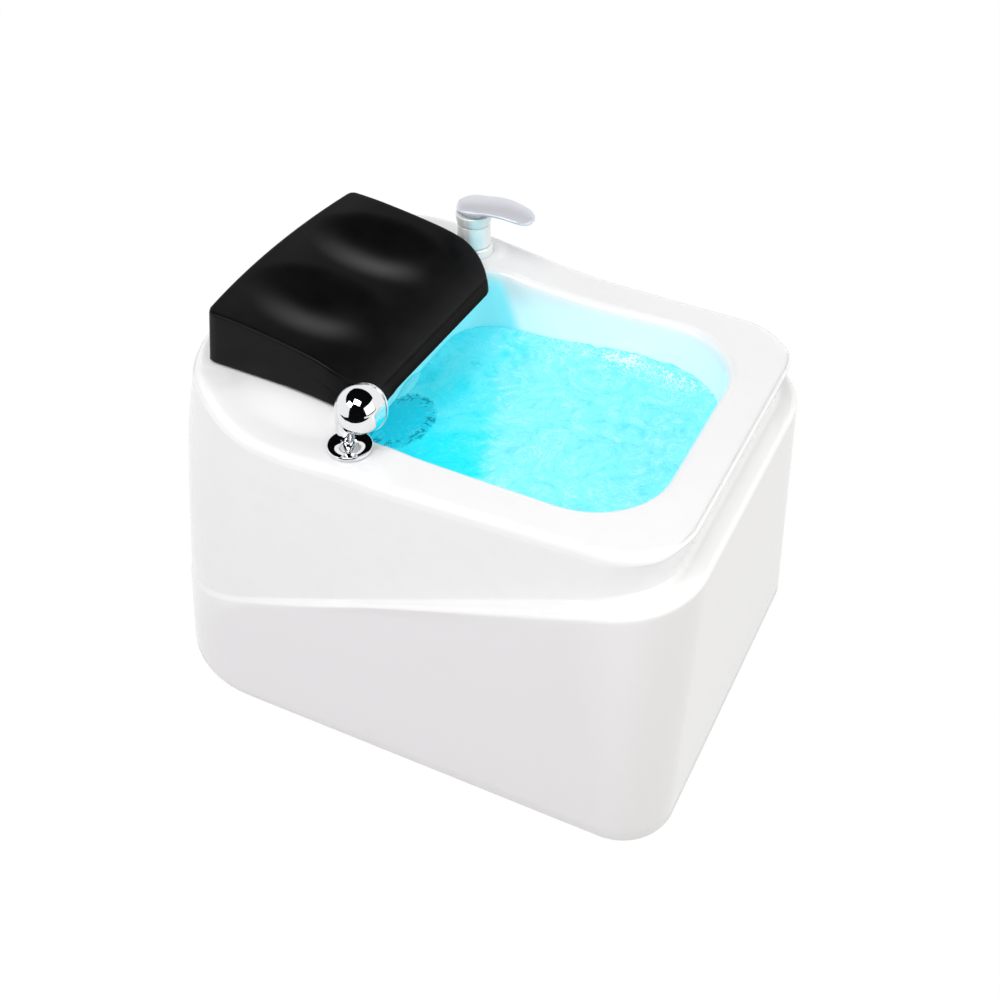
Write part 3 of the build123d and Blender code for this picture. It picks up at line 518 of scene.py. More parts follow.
tub = {
    "length": 0.700, "halfWidth": 0.264, "tallCorner": 0.155, "lowCorner": 0.065, "ledgeCorner": 0.112,
    "rimCorner": 0.082, "tallLean": 0.1022, "tallNarrowing": 0.0666, "lowLean": 0.026,
    "lowNarrowing": 0.0058, "skirtLean": -0.215, "skirtNarrowing": 0.088, "rimHeight": 0.409,
    "rimX": 0.3255, "foot": 0.004, "top": 0.470, "wall": 0.005, "bulge": 0.0045, "bulgeHeight": 0.44,
    "shoulder": 0.009, "shoulderRise": (0.335, 0.450), "footEdge": 0.0015, "wallSteps": 18,
}
ledge = {"level": 0.350, "slope": 22.2, "ease": 0.200, "levelX": 0.292, "round": 0.008,
         "cove": 0.009, "shares": {"round": 0.40, "cove": 0.32}, "fade": (0.0025, 0.0095), "swell": 0.0055,
         "steps": (9, 4, 7)}
well = {
    "floor": 0.150, "x0": -0.093, "x1": 0.271, "w0": 0.163, "w1": 0.177, "r0": 0.062, "r1": 0.088,
    "draft": 0.085, "floorRound": 0.028, "lipRound": 0.011,
}
columns = {"corner": 18, "side": 34, "end": 22}      # points round each outline
deck = {
    # heights of the deck in millimetres at stations along X
    "stations": (-0.340, -0.302, -0.274, -0.250, -0.225, -0.190, -0.150, -0.110, -0.060, -0.010, 0.050,
                 0.110, 0.200, 0.360),
    "nearRim": (441, 440, 439, 438, 434, 421, 409, 405, 405, 405, 406, 407, 409, 409),
    "nearSeat": (441, 437, 430, 427.5, 427.5, 427.5, 426.5, 423, 412, 407, 406, 407, 409, 409),
    "farSeat": (458, 446, 431, 427.5, 427.5, 427.5, 427.5, 427, 424, 417, 411, 409, 409, 409),
    "farRim": (458, 450, 446, 444, 442, 440, 438, 434, 427, 419, 412, 410, 409, 409),
    "seatEdge": 0.160, "rimLine": 0.198, "rimRound": 0.012, "endRound": 0.0026,
    "endFrom": (0.72, 0.97), "lip": 0.0005,
    "mixer": (-0.097, 0.184, 0.432), "shower": (-0.0555, -0.1905, 0.407), "flat": (0.027, 0.043),
    "dishRise": 0.0016, "dishIn": (0.029, 0.038), "dishOut": (0.040, 0.075), "seatFade": 0.010,
    "steps": {"wall": 12, "rim": 9, "deck": 32, "lip": 8, "well": 14, "floor": 7},
}


def roundedOutline(x0, x1, w0, w1, r0, r1):
    # points and outward directions round a trapezoid with rounded corners, near side first
    corners = ((x0, -w0, r0), (x1, -w1, r1), (x1, w1, r1), (x0, w0, r0))
    arcs = []
    for i, (x, y, radius) in enumerate(corners):
        here = Vector((x, y))
        before = (Vector(corners[i - 1][:2]) - here).normalized()
        after = (Vector(corners[(i + 1) % 4][:2]) - here).normalized()
        half = before.angle(after) / 2
        centre = here + (before + after).normalized() * radius / math.sin(half)
        spoke = (here + before * radius / math.tan(half) - centre).normalized()
        turn = (math.pi - 2 * half) / columns["corner"]
        arcs.append([(centre, Matrix.Rotation(turn * k, 2) @ spoke, radius)
                     for k in range(columns["corner"] + 1)])
    points = []
    for i, arc in enumerate(arcs):
        points += [(centre + spoke * radius, spoke) for centre, spoke, radius in arc]
        nextCentre, nextSpoke, nextRadius = arcs[(i + 1) % 4][0]
        start = points[-1][0]
        end = nextCentre + nextSpoke * nextRadius
        runs = columns["side"] if i % 2 == 0 else columns["end"]
        points += [(start.lerp(end, k / runs), nextSpoke) for k in range(1, runs)]
    return points


def ruledWall(outlineAt, low, high):
    # straight lines from the outline at one height to the outline at another
    below, above = outlineAt(low), outlineAt(high)
    return [(p, q, (n + m).normalized(), low, high) for (p, n), (q, m) in zip(below, above)]


def linePoint(line, z, grow=0.0):
    start, end, outward, low, high = line
    spot = start.lerp(end, (z - low) / (high - low)) + outward * grow
    return Vector((spot.x, spot.y, z))


def wallPoint(line, z, inset=0.0):
    # the tall end swells a little half way up and leans in at the top
    tall = max(0.0, -line[2].x) ** 2
    swell = tub["bulge"] * tall * max(0.0, math.sin(math.pi * z / tub["bulgeHeight"]))
    shoulder = tub["shoulder"] * tall * ease(z, *tub["shoulderRise"])
    return linePoint(line, z, swell - shoulder - inset)


def shellOutline(z, endX, narrowing, corner, share):
    # the casing and the skirt have the same tall end and their own low end
    half = tub["halfWidth"]
    return roundedOutline(
        -tub["length"] / 2 + tub["tallLean"] * z, endX, half - tub["tallNarrowing"] * z, half - narrowing * z,
        tub["tallCorner"], corner + (tub["ledgeCorner"] - corner) * share)


def casingOutline(z):
    return shellOutline(z, tub["length"] / 2 - tub["lowLean"] * z, tub["lowNarrowing"], tub["lowCorner"],
                        z / ledge["level"])


def skirtOutline(z):
    drop = tub["rimHeight"] - z
    return shellOutline(z, tub["rimX"] + tub["skirtLean"] * drop, tub["skirtNarrowing"], tub["rimCorner"],
                        drop / tub["rimHeight"])


def wellOutline(z):
    drop = well["draft"] * (tub["rimHeight"] - z)
    return roundedOutline(well["x0"], well["x1"] - drop, well["w0"] - drop, well["w1"] - drop,
                          well["r0"] - drop / 2, well["r1"] - drop / 2)


def ledgeHeight(x):
    slope = math.radians(ledge["slope"])
    easeX = ledge["levelX"] - ledge["ease"] * math.sin(slope)
    easeZ = ledge["level"] - ledge["ease"] * (1 - math.cos(slope))
    if x >= ledge["levelX"]:
        return ledge["level"]
    if x >= easeX:
        back = ledge["levelX"] - x
        return ledge["level"] - ledge["ease"] + math.sqrt(ledge["ease"] ** 2 - back ** 2)
    return easeZ - (easeX - x) * math.tan(slope)


def deckHeight(x, y):
    nearSeat = curveThrough(deck["stations"], deck["nearSeat"], x)
    farSeat = curveThrough(deck["stations"], deck["farSeat"], x)
    share = min(1.0, max(0.0, (y + deck["seatEdge"]) / (2 * deck["seatEdge"])))
    height = nearSeat + (farSeat - nearSeat) * share
    toRim = ease(abs(y), deck["seatEdge"] - deck["seatFade"], deck["rimLine"])
    if toRim:
        rim = curveThrough(deck["stations"], deck["nearRim"] if y < 0 else deck["farRim"], x)
        height += (rim - height) * toRim
    height /= 1000
    for spotX, spotY, spotZ in (deck["mixer"], deck["shower"]):
        away = math.hypot(x - spotX, y - spotY)
        height += (spotZ - height) * (1 - ease(away, *deck["flat"]))
    away = math.hypot(x - deck["shower"][0], y - deck["shower"][1])
    return height + deck["dishRise"] * ease(away, *deck["dishIn"]) * (1 - ease(away, *deck["dishOut"]))


def solveHeight(pointAt, heightAt, guess, rounds=6):
    # height at which a wall line meets a surface
    z = guess
    for _ in range(rounds):
        spot = pointAt(z)
        z = heightAt(spot.x, spot.y)
    return z


casingWall = ruledWall(casingOutline, tub["foot"], tub["top"])
skirtWall = ruledWall(skirtOutline, tub["foot"], tub["top"])
wellWall = ruledWall(wellOutline, well["floor"], tub["top"])
acrylic = (0.90, 0.90, 0.905, 1)
whiteShell = whiteGelcoat("whiteBasin", acrylic, well=True)
# painted shade under the casing's ledge: lighter along the sides, deeper at the low end
whiteCasing = whiteGelcoat("whiteCasing", acrylic, shadeBelowLedge=((0.85, 0.835, 0.845, 1), (0.785, 0.775, 0.765, 1)))


def quarter(steps, start=0):
    # the angles that divide a quarter turn into steps
    return [math.radians(90) * k / steps for k in range(start, steps + 1)]


def rounded(radius, angle):
    # how far a rounded edge lies within its corner, sideways and down
    return radius * (1 - math.cos(angle)), radius * (1 - math.sin(angle))


def ledgeStep(casing, skirt):
    # points from the casing's wall up to the skirt: a rounded ledge with a cove,
    # or a soft swell where the ledge is narrow
    z = solveHeight(lambda level: wallPoint(skirt, level), lambda x, y: ledgeHeight(x), 0.3)
    across = wallPoint(casing, z) - wallPoint(skirt, z)
    width = max(0.0, across.x * casing[2].x + across.y * casing[2].y)
    crisp = ease(width, *ledge["fade"])
    radius, cove = (min(ledge[key], width * share) for key, share in ledge["shares"].items())
    soft = ledge["swell"]
    arc, flat, hollow = ledge["steps"]
    last = arc + flat + hollow
    outer, inner = wallPoint(casing, z, radius), wallPoint(skirt, z, -cove)
    top = z + soft + (cove - soft) * crisp
    points = []
    for k in range(last + 1):
        t = k / last
        if k <= arc:
            inset, drop = rounded(radius, math.radians(90) * k / arc)
            step = wallPoint(casing, z - drop, inset)
        elif k <= arc + flat:
            step = outer.lerp(inner, (k - arc) / flat)
        else:
            rise, inset = rounded(cove, math.radians(90) * (k - arc - flat) / hollow)
            step = wallPoint(skirt, z + rise, -inset)
        level = z - soft + 2 * soft * t
        swell = wallPoint(casing, level).lerp(wallPoint(skirt, level), t * t * (3 - 2 * t))
        spot = swell.lerp(step, crisp)
        climb = ledgeHeight(spot.x) - ledgeHeight(wallPoint(skirt, z).x)
        spot.z += climb * crisp * (1 - ease(k, arc + flat, last))
        points.append(spot)
    points[-1] = wallPoint(skirt, top)
    return points, top


def onDeck(spot, drop=0.0):
    return Vector((spot.x, spot.y, deckHeight(spot.x, spot.y) - drop))


def floorArc(bottom, angle, inset=0.0):
    # ring of the rounded corner between the basin's floor and its wall
    inward, rise = rounded(well["floorRound"], angle)
    return [linePoint(line, bottom + rise, -inward - inset) for line in wellWall]


def towards(ring, shares):
    # smaller copies of a ring, each moved by its share of the way to the middle
    middle = sum(ring, Vector()) / len(ring)
    return [[spot.lerp(middle, share) for spot in ring] for share in shares]


ledgeSteps = [ledgeStep(casing, skirt) for casing, skirt in zip(casingWall, skirtWall)]


def makeBasin():
    steps = deck["steps"]
    rims = [solveHeight(lambda z: wallPoint(line, z), deckHeight, 0.42) for line in skirtWall]
    # the rim is rounded along the sides and nearly square at the low end, with a fine lip
    atEnd = [ease(line[2].x, *deck["endFrom"]) for line in skirtWall]
    rounds = [deck["rimRound"] + (deck["endRound"] - deck["rimRound"]) * share for share in atEnd]
    rings = []
    for k in range(steps["wall"] + 2):
        ring = []
        onWall = k <= steps["wall"]
        for line, (points, low), rim, radius, share in zip(skirtWall, ledgeSteps, rims, rounds, atEnd):
            high = rim - radius - deck["lip"]
            z = low + (high - low) * k / steps["wall"] if onWall else rim - radius
            ring.append(wallPoint(line, z, deck["lip"] * share * ease(k, 0, 4) if onWall else 0.0))
        rings.append(ring)
    for angle in quarter(steps["rim"], 1):
        ring = []
        for line, rim, radius in zip(skirtWall, rims, rounds):
            inset, drop = rounded(radius, angle)
            ring.append(onDeck(wallPoint(line, rim, inset), drop))
        rings.append(ring)
    rimRing = rings[-1]
    lipRound = well["lipRound"]
    lipRing = [
        linePoint(line, solveHeight(lambda z: linePoint(line, z, lipRound), deckHeight, 0.41), lipRound)
        for line in wellWall]
    for k in range(1, steps["deck"] + 1):
        rings.append([onDeck(outer.lerp(inner, k / steps["deck"])) for outer, inner in zip(rimRing, lipRing)])
    for angle in quarter(steps["lip"], 1):
        drop, grow = rounded(lipRound, angle)
        rings.append([linePoint(line, lip.z - drop, grow) for line, lip in zip(wellWall, lipRing)])
    edge = rings[-1]
    foot = well["floor"] + well["floorRound"]
    for k in range(1, steps["well"] + 1):
        rings.append([linePoint(line, spot.z + (foot - spot.z) * k / steps["well"])
                      for line, spot in zip(wellWall, edge)])
    rings += [floorArc(well["floor"], angle) for angle in quarter(steps["floor"], 1)]
    rings += towards(rings[-1], (0.25, 0.5, 0.75, 0.9))
    mesh = lofted(rings, closeStart=False)
    thicken(piece("tubBasin", mesh, whiteShell, "tub", ("basin_shell",)), tub["wall"])


def makeCasing():
    foot, edge, steps = tub["foot"], tub["footEdge"], tub["wallSteps"]
    rings = [[wallPoint(line, foot + rise, inset) for line in casingWall]
             for inset, rise in ((tub["wall"], 0.0), (edge, 0.0), (edge * 0.3, edge * 0.3), (0.0, edge))]
    for k in range(1, steps + 1):
        rings.append([wallPoint(line, foot + edge + (points[0].z - foot - edge) * k / steps)
                      for line, (points, top) in zip(casingWall, ledgeSteps)])
    for k in range(1, sum(ledge["steps"]) + 1):
        rings.append([points[k] for points, top in ledgeSteps])
    mesh = lofted(rings, False, False)
    thicken(piece("lowerCasing", mesh, whiteCasing, "tub", ("outer_casing",)), tub["wall"] * 0.8)


makeBasin()
makeCasing()
print("shells built")

pad = {
    "back": (-0.2575, -0.2525), "seat": 0.4293, "backTop": 0.4945,
    "top": ((-0.2525, 0.4945), (-0.215, 0.4925), (-0.180, 0.4885), (-0.150, 0.4842), (-0.120, 0.4788),
            (-0.098, 0.4724), (-0.083, 0.4656)),
    "nose": ((-0.070, 0.4572), (-0.059, 0.4478), (-0.0505, 0.4388), (-0.0448, 0.4335), (-0.0415, 0.4308),
             (-0.043, 0.4293)),
    "seam": (-0.0520, 0.4405), "seamDepth": 0.0011, "seamWidth": 0.0012,
    "half": 0.1555, "noseHalf": 0.153, "taper": 5.6, "noseCorner": 0.062, "backCorner": 0.007,
    "planBack": -0.2575, "planNose": -0.0385, "edge": 0.0032, "backEdge": 0.003,
    "hollow": (-0.160, 0.066), "hollowSize": (0.086, 0.062), "hollowDepth": 0.0125,
    "bow": 0.0125, "bowFrom": (-0.10, -0.25), "turn": 2.0, "turnAbout": (-0.15, 0.0),
    "drop": 0.014, "dropY": (-0.150, -0.095), "dropGap": 0.0030, "lowBand": (0.001, 0.012),
    "hollowBand": (0.012, 0.002), "backLength": 0.064, "seamFrom": 0.004,
    "steps": {"base": 26, "back": 8, "corner": 5, "top": 56, "nose": 6, "edge": 7, "across": 72},
    "sideShares": (0.9, 0.75, 0.6, 0.45, 0.32, 0.2, 0.1, 0.03),
}


def padProfile():
    # closed loop of (x, z): base, back, top and nose
    steps = pad["steps"]
    baseEnd = Vector(pad["nose"][-1])
    baseStart = Vector((pad["back"][0], pad["seat"]))
    backTop = Vector((pad["back"][1], pad["backTop"]))
    corner = pad["backEdge"]
    loop = [baseEnd.lerp(baseStart, k / steps["base"]) for k in range(steps["base"])]
    loop += [baseStart.lerp(backTop, k / steps["back"] * (1 - corner / pad["backLength"]))
             for k in range(steps["back"] + 1)]
    topPoints = [Vector(point) for point in pad["top"]]
    arcStart, arcEnd = loop[-1], backTop + (topPoints[1] - topPoints[0]).normalized() * corner
    for k in range(1, steps["corner"]):
        t = k / steps["corner"]
        loop.append(arcStart * (1 - t) ** 2 + backTop * 2 * t * (1 - t) + arcEnd * t ** 2)
    stations, heights = zip(arcEnd, *topPoints[1:])
    for k in range(steps["top"]):
        x = stations[0] + (stations[-1] - stations[0]) * k / steps["top"]
        loop.append(Vector((x, curveThrough(stations, heights, x))))
    nosePoints = [topPoints[-1]] + [Vector(point) for point in pad["nose"]]
    last = len(nosePoints) - 1
    for i in range(last):
        before, after = nosePoints[max(0, i - 1)], nosePoints[min(last, i + 2)]
        here, there = nosePoints[i], nosePoints[i + 1]
        for k in range(steps["nose"]):
            t = k / steps["nose"]
            square, cube = 2 * before - 5 * here + 4 * there - after, 3 * here - before - 3 * there + after
            loop.append(0.5 * (2 * here + (there - before) * t + square * t * t + cube * t ** 3))
    return loop


def padHalf(x, z):
    # half width of the pad at a point of its profile
    rise = math.tan(math.radians(pad["taper"])) * (z - pad["seat"])
    share = (x - pad["planBack"]) / (pad["planNose"] - pad["planBack"])
    half = pad["half"] + (pad["noseHalf"] - pad["half"]) * share - rise
    corner = pad["noseCorner"]
    past = min(corner, max(0.0, x - (pad["planNose"] - corner)))
    half -= corner - math.sqrt(corner ** 2 - past ** 2)
    corner = pad["backCorner"]
    behind = min(corner, max(0.0, pad["planBack"] + rise + corner - x))
    return half - (corner - math.sqrt(corner ** 2 - behind ** 2))


def hollowDepth(x, y):
    centreX, centreY = pad["hollow"]
    sizeX, sizeY = pad["hollowSize"]
    away = min(math.hypot((x - centreX) / sizeX, (abs(y) - centreY) / sizeY), 1.0)
    return pad["hollowDepth"] * 0.5 * (1 + math.cos(math.pi * away))


def shapePad(spot):
    # hollows for the feet, the near edge that follows the deck, and the bowed back
    low, high = pad["lowBand"]
    if spot.z > pad["seat"] + high:
        top = curveThrough(*zip(*pad["top"]), spot.x)
        spot.z -= hollowDepth(spot.x, spot.y) * ease(spot.z, *(top - step for step in pad["hollowBand"]))
    base = 1 - ease(spot.z, pad["seat"] + low, pad["seat"] + high)
    if base and spot.y < pad["dropY"][1]:
        gap = pad["seat"] - deckHeight(spot.x, spot.y) - pad["dropGap"]
        spot.z -= min(pad["drop"], max(0.0, gap)) * base * (1 - ease(spot.y, *pad["dropY"]))
    bow = pad["bow"] * max(0.0, 1 - (spot.y / pad["half"]) ** 2)
    spot.x -= bow * ease(spot.x, *pad["bowFrom"])


def makePad():
    loop = padProfile()
    middle = sum(loop, Vector((0, 0))) / len(loop)
    seam = Vector(pad["seam"])
    edge, steps = pad["edge"], pad["steps"]
    inward = []
    grooved = []
    # the groove of the mould parting runs round the nose
    for i, spot in enumerate(loop):
        along = (loop[(i + 1) % len(loop)] - loop[i - 1]).normalized()
        turn = Vector((along.y, -along.x))
        near = abs(spot.y - seam.y) / pad["seamWidth"] if spot.x > seam.x - pad["seamFrom"] else 1.0
        grooved.append(spot + turn * pad["seamDepth"] * max(0.0, 1 - near))
        inward.append(turn)

    def section(across, inset, slack, shrink=0.0):
        # the profile at a share of the half width, from -1 to 1
        ring = []
        for spot, turn in zip(grooved, inward):
            place = (spot + turn * inset).lerp(middle, shrink)
            half = padHalf(min(place.x, pad["planNose"] - 1e-4), place.y)
            ring.append(Vector((place.x, across * (half - slack), place.y)))
        return ring

    def sideRings(side):
        rings = [section(side, edge, 0.0, share) for share in pad["sideShares"]]
        return rings + [section(side, *rounded(edge, angle)) for angle in reversed(quarter(steps["edge"], 1))]

    across = [section(2.0 * k / steps["across"] - 1.0, 0, edge) for k in range(steps["across"] + 1)]
    mesh = lofted(sideRings(-1) + across + sideRings(1)[::-1])
    for vert in mesh.verts:
        shapePad(vert.co)
    bmesh.ops.rotate(mesh, verts=mesh.verts, cent=(*pad["turnAbout"], 0),
                     matrix=Matrix.Rotation(-math.radians(pad["turn"]), 3, "Z"))
    bmesh.ops.recalc_face_normals(mesh, faces=mesh.faces)
    made = piece("footrestPad", mesh, padSkin, "footrest", ("footrest_pad",))
    made.visible_glossy = False


padSkin = foamSkin()
makePad()
print("footrest built")

chrome = brightChrome("brightChrome")
tapChrome = brightChrome("tapChrome", (0.88, 0.89, 0.885, 1), 0.16, 0.26)
leverChrome = brightChrome("leverChrome", (0.72, 0.735, 0.79, 1), 0.32, 0.30)
tap = {
    "x": -0.097, "y": 0.184, "aside": (0.0022, -0.0003),
    # outlines of the turned parts as (radius, height)
    "baseRing": ((0.0168, 0.4323), (0.0240, 0.4323), (0.0240, 0.4343), (0.0228, 0.4420), (0.0212, 0.4444),
                 (0.0168, 0.4450)),
    "body": ((0.0126, 0.405), (0.0165, 0.405), (0.0165, 0.4456), (0.0216, 0.4456), (0.0209, 0.4510),
             (0.0204, 0.4590), (0.0204, 0.4732), (0.0170, 0.4732), (0.0170, 0.460), (0.0126, 0.458)),
    "cap": ((0.0158, 0.4739), (0.0206, 0.4739), (0.0216, 0.4782), (0.0222, 0.4868), (0.0214, 0.4877),
            (0.0114, 0.4882), (0.0106, 0.4878), (0.0124, 0.4878), (0.0124, 0.4739)),
    "stem": ((0.0, 0.489), (0.004, 0.489), (0.004, 0.4995), (0.0, 0.4995)),
    # the lever's half width, top and thickness at distances from the tap's axis
    "stations": (-0.0175, -0.012, 0.0, 0.014, 0.026, 0.045, 0.065, 0.082),
    "half": (0.0205, 0.0222, 0.0225, 0.0226, 0.0224, 0.0215, 0.0190, 0.0160),
    "topZ": (0.4968, 0.4980, 0.5002, 0.5022, 0.5034, 0.5036, 0.5004, 0.4958),
    "thick": (0.0015, 0.0047, 0.0104, 0.0128, 0.0074, 0.0056, 0.0050, 0.0042),
    "hollowTop": 0.4934, "hollowEdge": (0.55, 0.82), "lift": 0.0022, "steps": (72, 56),
    "heelRound": 0.020, "heelShape": 2.4, "tipRound": 0.017, "tipShape": 2.6,
    "sideShape": 0.55, "topShape": 0.62, "pinchWidth": 0.005, "pinched": 0.4,
}


def makeTap():
    foot = (tap["x"] + tap["aside"][0], tap["y"] + tap["aside"][1], 0.0)
    for name, key, edge, node in (("tapBaseRing", "baseRing", 0.0007, "mixer_base_ring"),
                                  ("tapBody", "body", 0.0006, "mixer_body"),
                                  ("tapCap", "cap", 0.0004, "mixer_cap")):
        turnedPiece(name, tap[key], foot, (0, 0, 1), edge, tapChrome, "tub", node)


def leverSection(x):
    # half width, underside and top of the lever at a distance from the tap's axis
    stations = tap["stations"]
    half, top, thick = (curveThrough(stations, tap[key], x) for key in ("half", "topZ", "thick"))
    heel, tip = stations[0] + tap["heelRound"], stations[-1] - tap["tipRound"]
    for past, key in ((heel - x, "heel"), (x - tip, "tip")):
        if past > 0:
            shape = tap[key + "Shape"]
            half *= max(0.0, 1 - (past / tap[key + "Round"]) ** shape) ** (1 / shape)
    return half, top - thick, top


def makeLever():
    start, end = tap["stations"][0], tap["stations"][-1]
    rings = []
    steps, sides = tap["steps"]
    for k in range(steps + 1):
        x = start + (end - start) * (1 - math.cos(math.pi * k / steps)) / 2
        x = min(max(x, start + 2e-5), end - 2e-5)
        half, low, top = leverSection(x)
        pinch = min(1.0, half / tap["pinchWidth"])
        middle, rise = (top + low) / 2, (top - low) / 2
        rise *= tap["pinched"] + (1 - tap["pinched"]) * pinch
        ring = []
        for s in range(sides):
            turn = 2 * math.pi * s / sides
            c, n = math.cos(turn), math.sin(turn)
            across = half * math.copysign(abs(c) ** tap["sideShape"], c)
            aside = abs(across / max(half, 1e-6))
            z = middle + rise * math.copysign(abs(n) ** tap["topShape"], n)
            if n > 0:
                z += tap["lift"] * (1 - aside ** 2) * pinch
            if n < 0:
                # the underside is hollow over the cap
                z += max(0.0, tap["hollowTop"] - z) * (1 - ease(aside, *tap["hollowEdge"]))
            ring.append(Vector((tap["x"] + x, tap["y"] + across, z)))
        rings.append(ring)
    mesh = lofted(rings)
    bmesh.ops.remove_doubles(mesh, verts=mesh.verts, dist=1e-6)
    addMesh(mesh, spun(tap["stem"], (tap["x"], tap["y"], 0.0), (0, 0, 1), steps=32))
    piece("tapLever", mesh, leverChrome, "lever", ("lever_handle", "lever_stem"), angle=60)


makeTap()
makeLever()
print("tap built")

shower = {
    "x": -0.054, "y": -0.193, "aside": (-0.0015, 0.0025), "sweep": (-0.899, -0.438), "stemAside": 0.0008,
    "head": (-0.0430, -0.1865, 0.4605), "aim": (0.1, 0.92, -0.38), "radius": 0.0264, "back": 0.0240,
    "melt": 0.0009, "meltRounds": 14, "neckSides": 40, "bulbSteps": 12, "bulbShape": 0.9,
    # height, distance along the sweep and radius of each ring of the neck
    "neckRings": ((0.4196, 0.0013, 0.0048), (0.4206, 0.0013, 0.0068), (0.4236, 0.0015, 0.0082),
                  (0.4276, 0.0019, 0.0094), (0.4325, 0.0022, 0.0110), (0.4390, 0.0010, 0.0129),
                  (0.4470, -0.0016, 0.0152), (0.4560, -0.0060, 0.0185), (0.4620, -0.0090, 0.0198)),
    # outlines of the turned parts as (radius, height)
    "holderOut": ((0.0085, 0.365), (0.0188, 0.365), (0.0188, 0.4082), (0.0246, 0.4082), (0.0252, 0.4088),
                  (0.0248, 0.4118), (0.0242, 0.4125)),
    "dish": (0.0230, 0.4124), "dishSize": (0.0128, 0.0052), "dishSteps": 6,
    "holderIn": ((0.0108, 0.3990), (0.0108, 0.371), (0.0085, 0.371)),
    "stem": ((0.0, 0.390), (0.0099, 0.390), (0.0105, 0.3912), (0.0105, 0.4010), (0.0097, 0.4022),
             (0.0070, 0.4046), (0.0064, 0.4075), (0.0062, 0.4260), (0.0, 0.4270)),
    "bulbFront": ((0.0264, 0.006), (0.0258, 0.0139), (0.0, 0.0139)),
    "faceRing": ((0.0216, 0.0144), (0.0260, 0.0144), (0.0254, 0.0180), (0.0226, 0.0214), (0.0216, 0.0216)),
    "plate": ((0.0, 0.0142), (0.0212, 0.0142), (0.0212, 0.0190), (0.0195, 0.0197), (0.0, 0.0202)),
    "nozzleRings": ((0.0055, 6), (0.0115, 12), (0.0170, 18)), "nozzle": (0.0011, 0.0007, 0.0024),
    "nozzleZ": 0.0204,
}


def joined(mesh, name):
    # melts overlapping forms into one smooth skin
    rough = objectFrom(name, mesh)
    melt = rough.modifiers.new("melt", "REMESH")
    melt.mode = "VOXEL"
    melt.voxel_size = shower["melt"]
    smooth = rough.modifiers.new("smooth", "SMOOTH")
    smooth.factor = 0.5
    smooth.iterations = shower["meltRounds"]
    shaped = rough.evaluated_get(bpy.context.evaluated_depsgraph_get())
    result = bmesh.new()
    result.from_mesh(shaped.to_mesh())
    shaped.to_mesh_clear()
    bpy.data.objects.remove(rough, do_unlink=True)
    return result


def makeHolder(seat):
    (radius, height), (width, depth) = shower["dish"], shower["dishSize"]
    dish = tuple((radius - width * math.sin(angle), height - depth * (1 - math.cos(angle)))
                 for angle in quarter(shower["dishSteps"]))
    turnedPiece("showerHolder", shower["holderOut"] + dish + shower["holderIn"], seat, (0, 0, 1), 0.0005,
                chrome, "tub", "shower_holder")


def makeShowerBody(foot, head, aim):
    sweep = Vector((*shower["sweep"], 0.0))
    sides = shower["neckSides"]
    rings = []
    for height, aside, width in shower["neckRings"]:
        centre = foot + sweep * aside + Vector((0, 0, height))
        turns = [2 * math.pi * k / sides for k in range(sides)]
        rings.append([centre + Vector((width * math.cos(turn), width * math.sin(turn), 0)) for turn in turns])
    mesh = lofted(rings)
    radius, back, shape = (shower[key] for key in ("radius", "back", "bulbShape"))
    bulb = tuple((radius * math.sin(angle) ** shape, -back * math.cos(angle))
                 for angle in quarter(shower["bulbSteps"]))
    addMesh(mesh, spun(bulb + shower["bulbFront"], head, aim, steps=64))
    mesh = joined(mesh, "showerDraft")
    addMesh(mesh, spun(shower["stem"], foot + sweep * shower["stemAside"], (0, 0, 1), 0.0006))
    piece("showerBody", mesh, chrome, "shower", ("shower_body",), angle=50)


def makeSprayPlate(head, aim):
    mesh = spun(shower["plate"], head, aim, 0.0004)
    side = aim.orthogonal().normalized()
    upright = aim.to_track_quat("Z", "Y").to_matrix().to_4x4()
    wide, narrow, depth = shower["nozzle"]
    for ringRadius, nozzles in shower["nozzleRings"]:
        for k in range(nozzles):
            spoke = Matrix.Rotation(2 * math.pi * k / nozzles, 3, aim) @ side
            place = Matrix.Translation(head + aim * shower["nozzleZ"] + spoke * ringRadius)
            bmesh.ops.create_cone(mesh, cap_ends=True, segments=8, radius1=wide, radius2=narrow, depth=depth,
                                  matrix=place @ upright)
    piece("sprayPlate", mesh, plainFinish("sprayPlate", (0.16, 0.165, 0.175, 1), 0.42), "shower",
          ("spray_face",), angle=40)


def makeShower():
    foot = Vector((shower["x"], shower["y"], 0.0))
    head, aim = Vector(shower["head"]), Vector(shower["aim"]).normalized()
    makeHolder(foot + Vector((*shower["aside"], 0.0)))
    makeShowerBody(foot, head, aim)
    turnedPiece("showerFaceRing", shower["faceRing"], head, aim, 0.0006, chrome, "shower", "shower_face_ring")
    makeSprayPlate(head, aim)


makeShower()
print("hand shower built")

water = {
    "inset": 0.0007, "floorGap": 0.0006,
    "swell": 0.012, "swellSpot": (0.13, 0.150), "swellSize": (0.085, 0.055), "swellShown": 0.8,
    "froth": 0.35, "calm": 0.35, "livelyFrom": (-0.02, 0.06),
    "warp": 0.035, "wave": 0.0032, "chop": 0.00352, "chopLevel": 0.2, "fine": 0.0005,
    # how many times a metre each roughness of the surface repeats
    "warpPitch": 11, "wavePitch": 20, "chopPitch": 48, "finePitch": 130, "frothPitch": 70,
    "levels": 76, "floorSteps": 5, "wallHeights": (0.20, 0.25, 0.30, 0.33),
}


